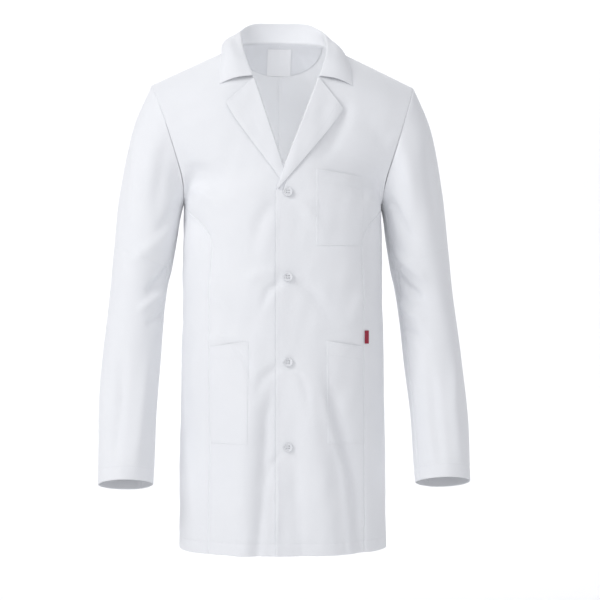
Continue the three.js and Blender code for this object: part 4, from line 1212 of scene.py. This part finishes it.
def sleeve_point(row, degrees):
    inner, outer, depths, tilts = (even_curve([one[k] for one in RINGS], row / LAST_RING) for k in range(4))
    tilt = np.radians(tilts[..., 0])
    middle = (inner + outer) / 2
    radius = np.linalg.norm(outer - inner, axis=-1) / 2
    forward = np.stack([0 * tilt, -np.cos(tilt), np.sin(tilt)], axis=-1)
    turn = np.radians(degrees)
    reach = np.where(np.sin(turn) >= 0, depths[..., 0], depths[..., 1])
    point = middle + np.stack([0 * radius, depths[..., 2], 0 * radius], axis=-1)
    point = point + unit(outer - inner) * (radius * np.cos(turn))[..., None]
    point = point + forward * (reach * np.sin(turn))[..., None]
    share = (1 + np.cos(turn)) / 2
    angle = np.where(np.sin(turn) >= 0, HALF_TURN - 1e-6, HALF_TURN + 1e-6)
    armhole = body_point(angle, share * ARMHOLE_HEIGHT)
    return mix(armhole, point, smooth(row / 0.5)[..., None])


# %% [markdown]
# Folds on a sleeve are drawn on a map: degrees round the sleeve, a millimetre each, and height. The
# crook of the elbow creases most, the sleeve head falls in soft pleats from the shoulder seam, and the
# underarm drags towards the body.

# %% Sleeve folds
SLEEVE_FOLDS = {
    "right": [
        ([(0.105, -0.432), (0.135, -0.405), (0.172, -0.368)], 0.0085, -0.0067, 0.25, 0.35),
        ([(0.090, -0.462), (0.125, -0.440), (0.175, -0.412)], 0.0080, 0.0049, 0.25, 0.35),
        ([(0.110, -0.485), (0.145, -0.470), (0.185, -0.452)], 0.0080, -0.0046, 0.25, 0.35),
        ([(0.060, -0.380), (0.100, -0.350), (0.150, -0.300)], 0.0130, 0.0043, 0.3, 0.4),
        ([(0.070, -0.500), (0.078, -0.600), (0.066, -0.740)], 0.0120, -0.0038, 0.3, 0.3),
        ([(0.125, -0.520), (0.120, -0.620), (0.110, -0.745)], 0.0130, 0.0041, 0.3, 0.3),
        ([(0.030, -0.120), (0.050, -0.220), (0.055, -0.330)], 0.0140, 0.0038, 0.3, 0.5),
        ([(0.085, -0.150), (0.098, -0.230), (0.105, -0.310)], 0.0120, -0.0043, 0.3, 0.5),
        ([(0.150, -0.260), (0.130, -0.300), (0.095, -0.350)], 0.0100, -0.0046, 0.25, 0.5),
        ([(-0.060, -0.160), (-0.070, -0.300), (-0.060, -0.420)], 0.0160, 0.0058, 0.3, 0.5),
        ([(-0.020, -0.470), (-0.060, -0.440), (-0.110, -0.445)], 0.0130, 0.0058, 0.3, 0.3),
        ([(-0.010, -0.430), (-0.060, -0.405), (-0.110, -0.410)], 0.0130, -0.0052, 0.3, 0.3),
    ],
    "left": [
        ([(0.100, -0.440), (0.135, -0.418), (0.172, -0.380)], 0.0085, -0.0058, 0.25, 0.35),
        ([(0.085, -0.410), (0.120, -0.385), (0.165, -0.345)], 0.0100, 0.0041, 0.25, 0.35),
        ([(0.100, -0.480), (0.140, -0.462), (0.180, -0.430)], 0.0085, 0.0043, 0.25, 0.35),
        ([(0.095, -0.520), (0.130, -0.500), (0.175, -0.482)], 0.0080, -0.0038, 0.25, 0.35),
        ([(0.050, -0.520), (0.066, -0.620), (0.060, -0.740)], 0.0130, 0.0041, 0.3, 0.3),
        ([(0.105, -0.530), (0.108, -0.640), (0.100, -0.745)], 0.0120, -0.0038, 0.3, 0.3),
        ([(0.040, -0.130), (0.058, -0.230), (0.060, -0.360)], 0.0140, -0.0038, 0.3, 0.5),
        ([(0.088, -0.140), (0.100, -0.240), (0.104, -0.330)], 0.0120, 0.0043, 0.3, 0.5),
        ([(0.150, -0.255), (0.128, -0.300), (0.100, -0.360)], 0.0100, -0.0049, 0.25, 0.5),
        ([(-0.060, -0.160), (-0.075, -0.300), (-0.060, -0.420)], 0.0160, 0.0058, 0.3, 0.5),
        ([(-0.020, -0.468), (-0.060, -0.436), (-0.110, -0.440)], 0.0130, 0.0058, 0.3, 0.3),
        ([(-0.010, -0.430), (-0.060, -0.400), (-0.110, -0.404)], 0.0130, -0.0052, 0.3, 0.3),
    ],
}


def sleeve_drape(side, degrees, point, row):
    map_x, z = degrees * 0.001, point[..., 2]
    total = sum(fold(map_x, z, *one) for one in SLEEVE_FOLDS[side])
    seed = 31 if side == "left" else 47
    turn = np.radians(degrees)
    total = total + waves(np.cos(turn) * 0.06 + z * 0.2, np.sin(turn) * 0.06 + z * 0.5, seed, 0.080, 0.0010)
    gathers = 0.0006 * np.sin(degrees / 4.2 + np.sin(degrees / 11)) * np.exp(-row / 0.12)
    return total * smooth(row / 0.25) + gathers * smooth(row / 0.02) * smooth(np.cos(turn) + 0.3)


# %% [markdown]
# Each length of a sleeve is a top piece and an under piece, in degrees round the ring. The cuff is
# turned up and stitched.

# %% Sleeves
CUFF_DEPTH = 0.022
TOP_SLEEVE = (-120.0, 160.0)
UNDER_SLEEVE = (160.0, 240.0)
LAP = 0.09
UPPER_ROWS = np.concatenate([
    [0, 0.006, 0.014, 0.026, 0.045], np.linspace(0.07, MEETING_RING - 0.04, 83),
    MEETING_RING + np.array([-0.03, -0.02, -0.01, 0.0, 0.03, 0.06, LAP])])
CUFF_ROWS = LAST_RING - np.array([0.22, 0.205, 0.195, 0.18, 0.14, 0.09, 0.05, 0.02, 0.008, 0.0])
LOWER_ROWS = np.concatenate([
    MEETING_RING + np.array([0.0, 0.02, 0.04, 0.065, LAP]),
    np.linspace(MEETING_RING + 0.13, LAST_RING - 0.25, 114), CUFF_ROWS])


def sleeve_skins(side, length, rows, degrees):
    row, degree = np.meshgrid(rows, degrees, indexing="ij")
    base = sleeve_point(row, degree)
    ahead, behind = sleeve_point(row, degree + 0.5), sleeve_point(row, degree - 0.5)
    low, high = np.clip(row - 0.02, 0, LAST_RING), np.clip(row + 0.02, 0, LAST_RING)
    normal = unit(np.cross(sleeve_point(high, degree) - sleeve_point(low, degree), ahead - behind))
    middle = sleeve_point(row, np.zeros_like(row)) + sleeve_point(row, np.full_like(row, 180.0))
    normal *= np.sign(np.sum(normal * (base - middle / 2), axis=-1, keepdims=True))
    height = sleeve_drape(side, degree, base, row) + relief(base, "seam", "seam", 6)
    height -= SEAM_DEPTH * np.exp(-(row / 0.018) ** 2)
    to_cuff = (LAST_RING - row) * THIRD
    height -= 0.0005 * np.exp(-((to_cuff - CUFF_DEPTH) / 0.0016) ** 2)
    thick = 0.0009 + 0.0008 * smooth((CUFF_DEPTH + 0.0006 - to_cuff) / 0.0012)
    lap = np.clip((row - MEETING_RING) / LAP, 0, 1)
    if length == "upper":
        before = smooth((row - MEETING_RING + 0.03) / 0.03)
        height -= before * (0.00014 + 0.0006 * lap)
        thick -= before * (0.0002 + 0.0005 * lap)
    else:
        thick -= 0.00079 * (1 - lap)
    outer = base + normal * height[..., None]
    inner = outer - normal * thick[..., None]
    if side == "right":
        return mirrored(base), mirrored(normal), mirrored(outer), mirrored(inner)
    return base, normal, outer, inner


def sleeve_moves(length):
    if length == "upper":
        return lambda piece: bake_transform(piece)
    return lambda piece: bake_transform(piece)


def sleeve(side):
    for length, rows in (("upper", UPPER_ROWS), ("lower", LOWER_ROWS)):
        moves = sleeve_moves(length)
        thread_rows = []
        for part, (first, last), arc in (("top", TOP_SLEEVE, 0.27), ("under", UNDER_SLEEVE, 0.08)):
            degrees = mix(first, last, steps_along(arc))
            base, normal, outer, inner = sleeve_skins(side, length, rows, degrees)
            nodes = [f"{part}_sleeve_{length}_{side}"]
            if (part, length) == ("top", "lower"):
                nodes.append(f"elbow_folds_{side}")
            made = cloth_piece(f"cloth_{part}_sleeve_{length}_{side}", outer, inner, COAT_CLOTH)
            finish_cloth(made, base, moves, nodes)
            normals = grid_normals(outer, normal)
            if length == "lower":
                cuff_row = row_near(outer, CUFF_DEPTH, True)
                thread_rows.append((outer[cuff_row], normals[cuff_row]))
            if part == "top":
                column = column_near(outer, STITCH_INSET)
                thread_rows.append((outer[:, column], normals[:, column]))
        moves(stitched_rows(f"stitching_sleeve_{length}_{side}", thread_rows))


sleeve("left")
sleeve("right")

# %% [markdown]
# ## Stitched lines on the body
# The hem, the front edges, the front seams and the armholes are all stitched where it shows.

# %% Stitched lines on the body
def lines_on(skins, insets=(), from_ends=(), hem=True, until=None):
    base, normal, outer = skins
    normals = grid_normals(outer, normal)
    rows = []
    for inset in insets:
        rows.append((outer[:until, column_near(outer, inset)], normals[:until, column_near(outer, inset)]))
    for inset in from_ends:
        column = column_near(outer, inset, True)
        rows.append((outer[:until, column], normals[:until, column]))
    if hem:
        row = row_near(outer, HEM_DEPTH)
        rows.append((outer[row], normals[row]))
    return rows


break_row = int(np.argmin(np.abs(FULL_RISES - (BREAK_Z - ARMPIT_Z))))
for side, moves in (("left", with_left_front), ("right", with_root)):
    rows = lines_on(front_skins[side], insets=(STITCH_INSET,), until=break_row)
    rows += lines_on(front_skins[side], from_ends=(STITCH_INSET,), hem=False, until=len(LOW_RISES))
    moves(stitched_rows(f"stitching_front_{side}", rows))
    rows = lines_on(side_skins[side])
    rows += lines_on(back_skins[side], insets=(STITCH_INSET,), until=len(LOW_RISES))
    with_root(stitched_rows(f"stitching_back_{side}", rows))
collar_row = row_near(top_skins[0], STITCH_INSET, True)
moon_row = row_near(moon_inner, 0.004)
label_rows = [(label_inner[k], grid_normals(label_inner, -label_inner * [0, 1, 0])[k]) for k in (2, -3)]
neck_rows = [
    (top_skins[0][collar_row, 2:-2], grid_normals(top_skins[0], collar_normal)[collar_row, 2:-2]),
    (moon_inner[moon_row, 4:-4], grid_normals(moon_inner, -moon_inner * [0, 1, 0])[moon_row, 4:-4]),
    *label_rows,
]
with_root(stitched_rows("stitching_neck", neck_rows))

# %% [markdown]
# ## Buttons
# A shirt-type button is turned from resin: a flat back, a raised rim, a dished middle and four holes.
# It starts as a cylinder. Its top is inset and pushed down twice for the rim and the dish, a bevel
# rounds every edge, and the holes are cut with a boolean. It is modelled once, and copied. Each copy
# stands square to the axis that its joint turns about, so that it doesn't wobble when it turns. The
# two tilts are those axes' own, above and below the armpit, and have to follow them if they change.

# %% Buttons
BUTTON_RADIUS, BUTTON_THICKNESS = 0.008, 0.0030
HOLE_OFFSET, HOLE_RADIUS = 0.0019, 0.0010
STRAND_REACH = HOLE_OFFSET * 1.35
DISH_DEPTH = 0.0009
BUTTON_BASE = VISIBLE_LIFT + 0.0010
CHEST_BUTTON_TILT, LOWER_BUTTON_TILT = 0.1344, 0.0067


def select_faces(test):
    mesh = bmesh.from_edit_mesh(bpy.context.active_object.data)
    for face in mesh.faces:
        face.select_set(bool(test(face.calc_center_median(), face.normal)))
    bmesh.update_edit_mesh(bpy.context.active_object.data)


def apply_modifier(kind, **settings):
    made = bpy.context.active_object
    modifier = made.modifiers.new(kind.title(), kind)
    for key, value in settings.items():
        setattr(modifier, key, value)
    bpy.ops.object.modifier_apply(modifier=modifier.name)


def cylinder(radius, depth, place, vertices=48):
    bpy.ops.object.select_all(action="DESELECT")
    bpy.ops.mesh.primitive_cylinder_add(vertices=vertices, radius=radius, depth=depth, location=place)
    bpy.ops.object.transform_apply(location=True, rotation=True, scale=True)
    return bpy.context.active_object


def turned_button():
    blank = cylinder(BUTTON_RADIUS, BUTTON_THICKNESS, (0, 0, BUTTON_THICKNESS / 2))
    bpy.ops.object.mode_set(mode="EDIT")
    bpy.ops.mesh.select_all(action="DESELECT")
    select_faces(lambda centre, normal: normal.z > 0.9)
    bpy.ops.mesh.inset(thickness=0.0016)
    bpy.ops.mesh.inset(thickness=0.0008)
    bpy.ops.transform.translate(value=(0, 0, -DISH_DEPTH))
    bpy.ops.mesh.inset(thickness=0.0016)
    bpy.ops.transform.translate(value=(0, 0, -0.0002))
    bpy.ops.mesh.select_all(action="DESELECT")
    select_faces(lambda centre, normal: normal.z < -0.9)
    bpy.ops.mesh.inset(thickness=0.0014)
    bpy.ops.object.mode_set(mode="OBJECT")
    apply_modifier("BEVEL", width=0.00035, segments=3, limit_method="ANGLE", angle_limit=math.radians(25))
    for x, y in ((1, 1), (-1, 1), (-1, -1), (1, -1)):
        drill = cylinder(HOLE_RADIUS, 0.01, (x * HOLE_OFFSET, y * HOLE_OFFSET, 0), 20)
        only(blank)
        apply_modifier("BOOLEAN", object=drill, operation="DIFFERENCE", solver="EXACT")
        bpy.data.objects.remove(drill)
    only(blank)
    bpy.ops.object.shade_smooth_by_angle(angle=math.radians(35))
    blank.data.materials.append(RESIN)
    return blank


def thread_row(place, points, up):
    """A length of thread through three points in a button's own frame."""
    ends = np.array([tuple(place @ Vector(point)) for point in points])
    return ends, np.tile(np.array(place.to_3x3() @ Vector(up)), (3, 1))


def button_place(z, height):
    """The frame of a button: it stands on the right front at its height, along its joint's axis."""
    rise = rise_at(np.array(0.0), np.array(z))
    base = body_point(0.0, rise)
    tilt = CHEST_BUTTON_TILT if rise > 0 else LOWER_BUTTON_TILT
    normal = Vector((0, -math.cos(tilt), math.sin(tilt)))
    lifted = float(drape(base, rise)) + height
    turn = Vector((0, 0, 1)).rotation_difference(normal).to_matrix().to_4x4()
    return Matrix.Translation(Vector(base) + normal * lifted) @ turn


master = turned_button()
for number in range(4):
    z = BUTTON_TOP_Z - number * BUTTON_SPACING
    body = f"button_{number + 1}"
    made = bpy.data.objects.new(f"resin_button_{number + 1}", master.data.copy())
    bpy.context.scene.collection.objects.link(made)
    made.data.transform(button_place(z, BUTTON_BASE))
    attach(made, body)
    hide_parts(f"button_{number + 1}")
    place = button_place(z, BUTTON_BASE + BUTTON_THICKNESS - DISH_DEPTH)
    rows = []
    for strand in (-0.00045, 0.0, 0.00045):
        for y in (-HOLE_OFFSET, HOLE_OFFSET):
            points = [(x, y + strand, 0) for x in (-STRAND_REACH, 0, STRAND_REACH)]
            rows.append(thread_row(place, points, (0, 0, 1)))
    shank = button_place(z, 0.0)
    for x, y in ((0.0006, 0), (-0.0006, 0), (0, 0.0006), (0, -0.0006)):
        points = [(x, y, up) for up in (0.0, BUTTON_BASE / 2, BUTTON_BASE + 0.0008)]
        rows.append(thread_row(shank, points, (1, 0, 0)))
    thread = stitched_rows(f"thread_button_{number + 1}", rows, pitch=1.0, radius=0.00030)
    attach(thread, body)
    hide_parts(f"button_thread_{number + 1}")
bpy.data.objects.remove(master)
print("buttons", BUTTON_RADIUS * 2, "m across,", BUTTON_SPACING, "m apart")

# %% [markdown]
# ## Buttonholes
# A buttonhole is a slit whose two sides are bound with close zigzag stitches, with a bar tack across
# each end. The slit lies under its button and shows only when the coat is open.

# %% Buttonholes
SLIT_HALF = 0.0074


def front_frame(x, z, offset):
    rise, base, normal = front_surface(x, z)
    return base + normal * (offset + drape(base, rise) + over_right_front(np.array(x))), normal


for number in range(4):
    z = BUTTON_TOP_Z - number * BUTTON_SPACING
    rows = []
    for x in np.arange(-SLIT_HALF, SLIT_HALF + 1e-6, 0.00055):
        for low, high in ((0.0003, 0.0022), (-0.0022, -0.0003)):
            ends = [front_frame(x, z + place, 0.0002) for place in (low, (low + high) / 2, high)]
            rows.append(tuple(np.array(part) for part in zip(*ends)))
    for x in (-SLIT_HALF - 0.0003, -SLIT_HALF - 0.0008, SLIT_HALF + 0.0003, SLIT_HALF + 0.0008):
        ends = [front_frame(x, z + place, 0.00035) for place in (-0.0024, 0.0, 0.0024)]
        rows.append(tuple(np.array(part) for part in zip(*ends)))
    made = stitched_rows(f"stitched_buttonhole_{number + 1}", rows, pitch=1.0, radius=0.0003)
    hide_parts(f"buttonhole_{number + 1}")
    with_left_front(made)

# %% [markdown]
# ## Light, floor and camera
# A white coat shows only by its shading, so the light is soft but comes from one side: a large panel
# in front on the viewer's left and a weaker even light from all round. A small panel inside the coat
# lights the back neck, which would be black otherwise, because nobody wears the coat to close it. The
# floor curves up into the wall behind, so that no line crosses the view.

# %% Light, floor and camera
def backdrop():
    turn = np.linspace(0, HALF_TURN, 24)
    radius, wall_y, floor_z = 1.5, 5.0, -1.30
    y = np.concatenate([[-9.0, -2.0], wall_y - radius + radius * np.sin(turn), [wall_y, wall_y]])
    z = np.concatenate([[floor_z, floor_z], floor_z + radius - radius * np.cos(turn), [2.0, 5.0]])
    points = [(x, a, b) for x in (-9.0, 9.0) for a, b in zip(y, z)]
    faces = [(k, k + 1, len(y) + k + 1, len(y) + k) for k in range(len(y) - 1)]
    finish = Finish("pale_floor", Roughness=0.9)
    made = new_mesh("floor", np.array(points), faces, np.array(points)[:, :2], finish.material)
    finish.shader.inputs["Base Color"].default_value = (0.93, 0.93, 0.935, 1)


def soft_panel(name, place, target, size, power):
    light = bpy.data.lights.new(name, "AREA")
    light.shape = "RECTANGLE"
    light.size, light.size_y = size
    light.energy = power
    made = bpy.data.objects.new(name, light)
    made.location = place
    made.rotation_euler = (Vector(target) - Vector(place)).to_track_quat("-Z", "Y").to_euler()
    made.visible_camera = False
    bpy.context.scene.collection.objects.link(made)


backdrop()
COAT_MIDDLE_Z = -0.44
MIDDLE = (0.0, 0.0, COAT_MIDDLE_Z)
soft_panel("key_panel", (-2.3, -1.8, 1.3), (0.0, 0.0, -0.15), (1.4, 1.4), 42)
soft_panel("fill_panel", (0.9, -3.2, 0.6), MIDDLE, (2.5, 2.5), 14)
soft_panel("wall_panel", (0.0, 2.6, 3.2), (0.0, 5.0, -0.4), (6.0, 1.5), 125)
soft_panel("neck_panel", (0.0, -0.045, -0.16), (0.0, 0.08, -0.10), (0.10, 0.20), 0.13)

world = bpy.data.worlds.new("studio")
bpy.context.scene.world = world
world.use_nodes = True
world.node_tree.nodes["Background"].inputs["Color"].default_value = (0.955, 0.962, 1.0, 1)
world.node_tree.nodes["Background"].inputs["Strength"].default_value = 0.55

CAMERA_TURN = math.radians(-4.5)
CAMERA_DISTANCE = 3.0
CAMERA_ASIDE = 0.0306
CAMERA_LENS = 102.9
camera_data = bpy.data.cameras.new("camera")
camera_data.lens = CAMERA_LENS
camera = bpy.data.objects.new("camera", camera_data)
looking = Vector((-math.sin(CAMERA_TURN), math.cos(CAMERA_TURN), 0))
beside = Vector((looking.y, -looking.x, 0))
camera.location = -looking * CAMERA_DISTANCE + beside * CAMERA_ASIDE + Vector(MIDDLE)
camera.rotation_euler = (HALF_TURN, 0, CAMERA_TURN)
bpy.context.scene.collection.objects.link(camera)
bpy.context.scene.camera = camera
bpy.context.scene.view_settings.view_transform = "Standard"
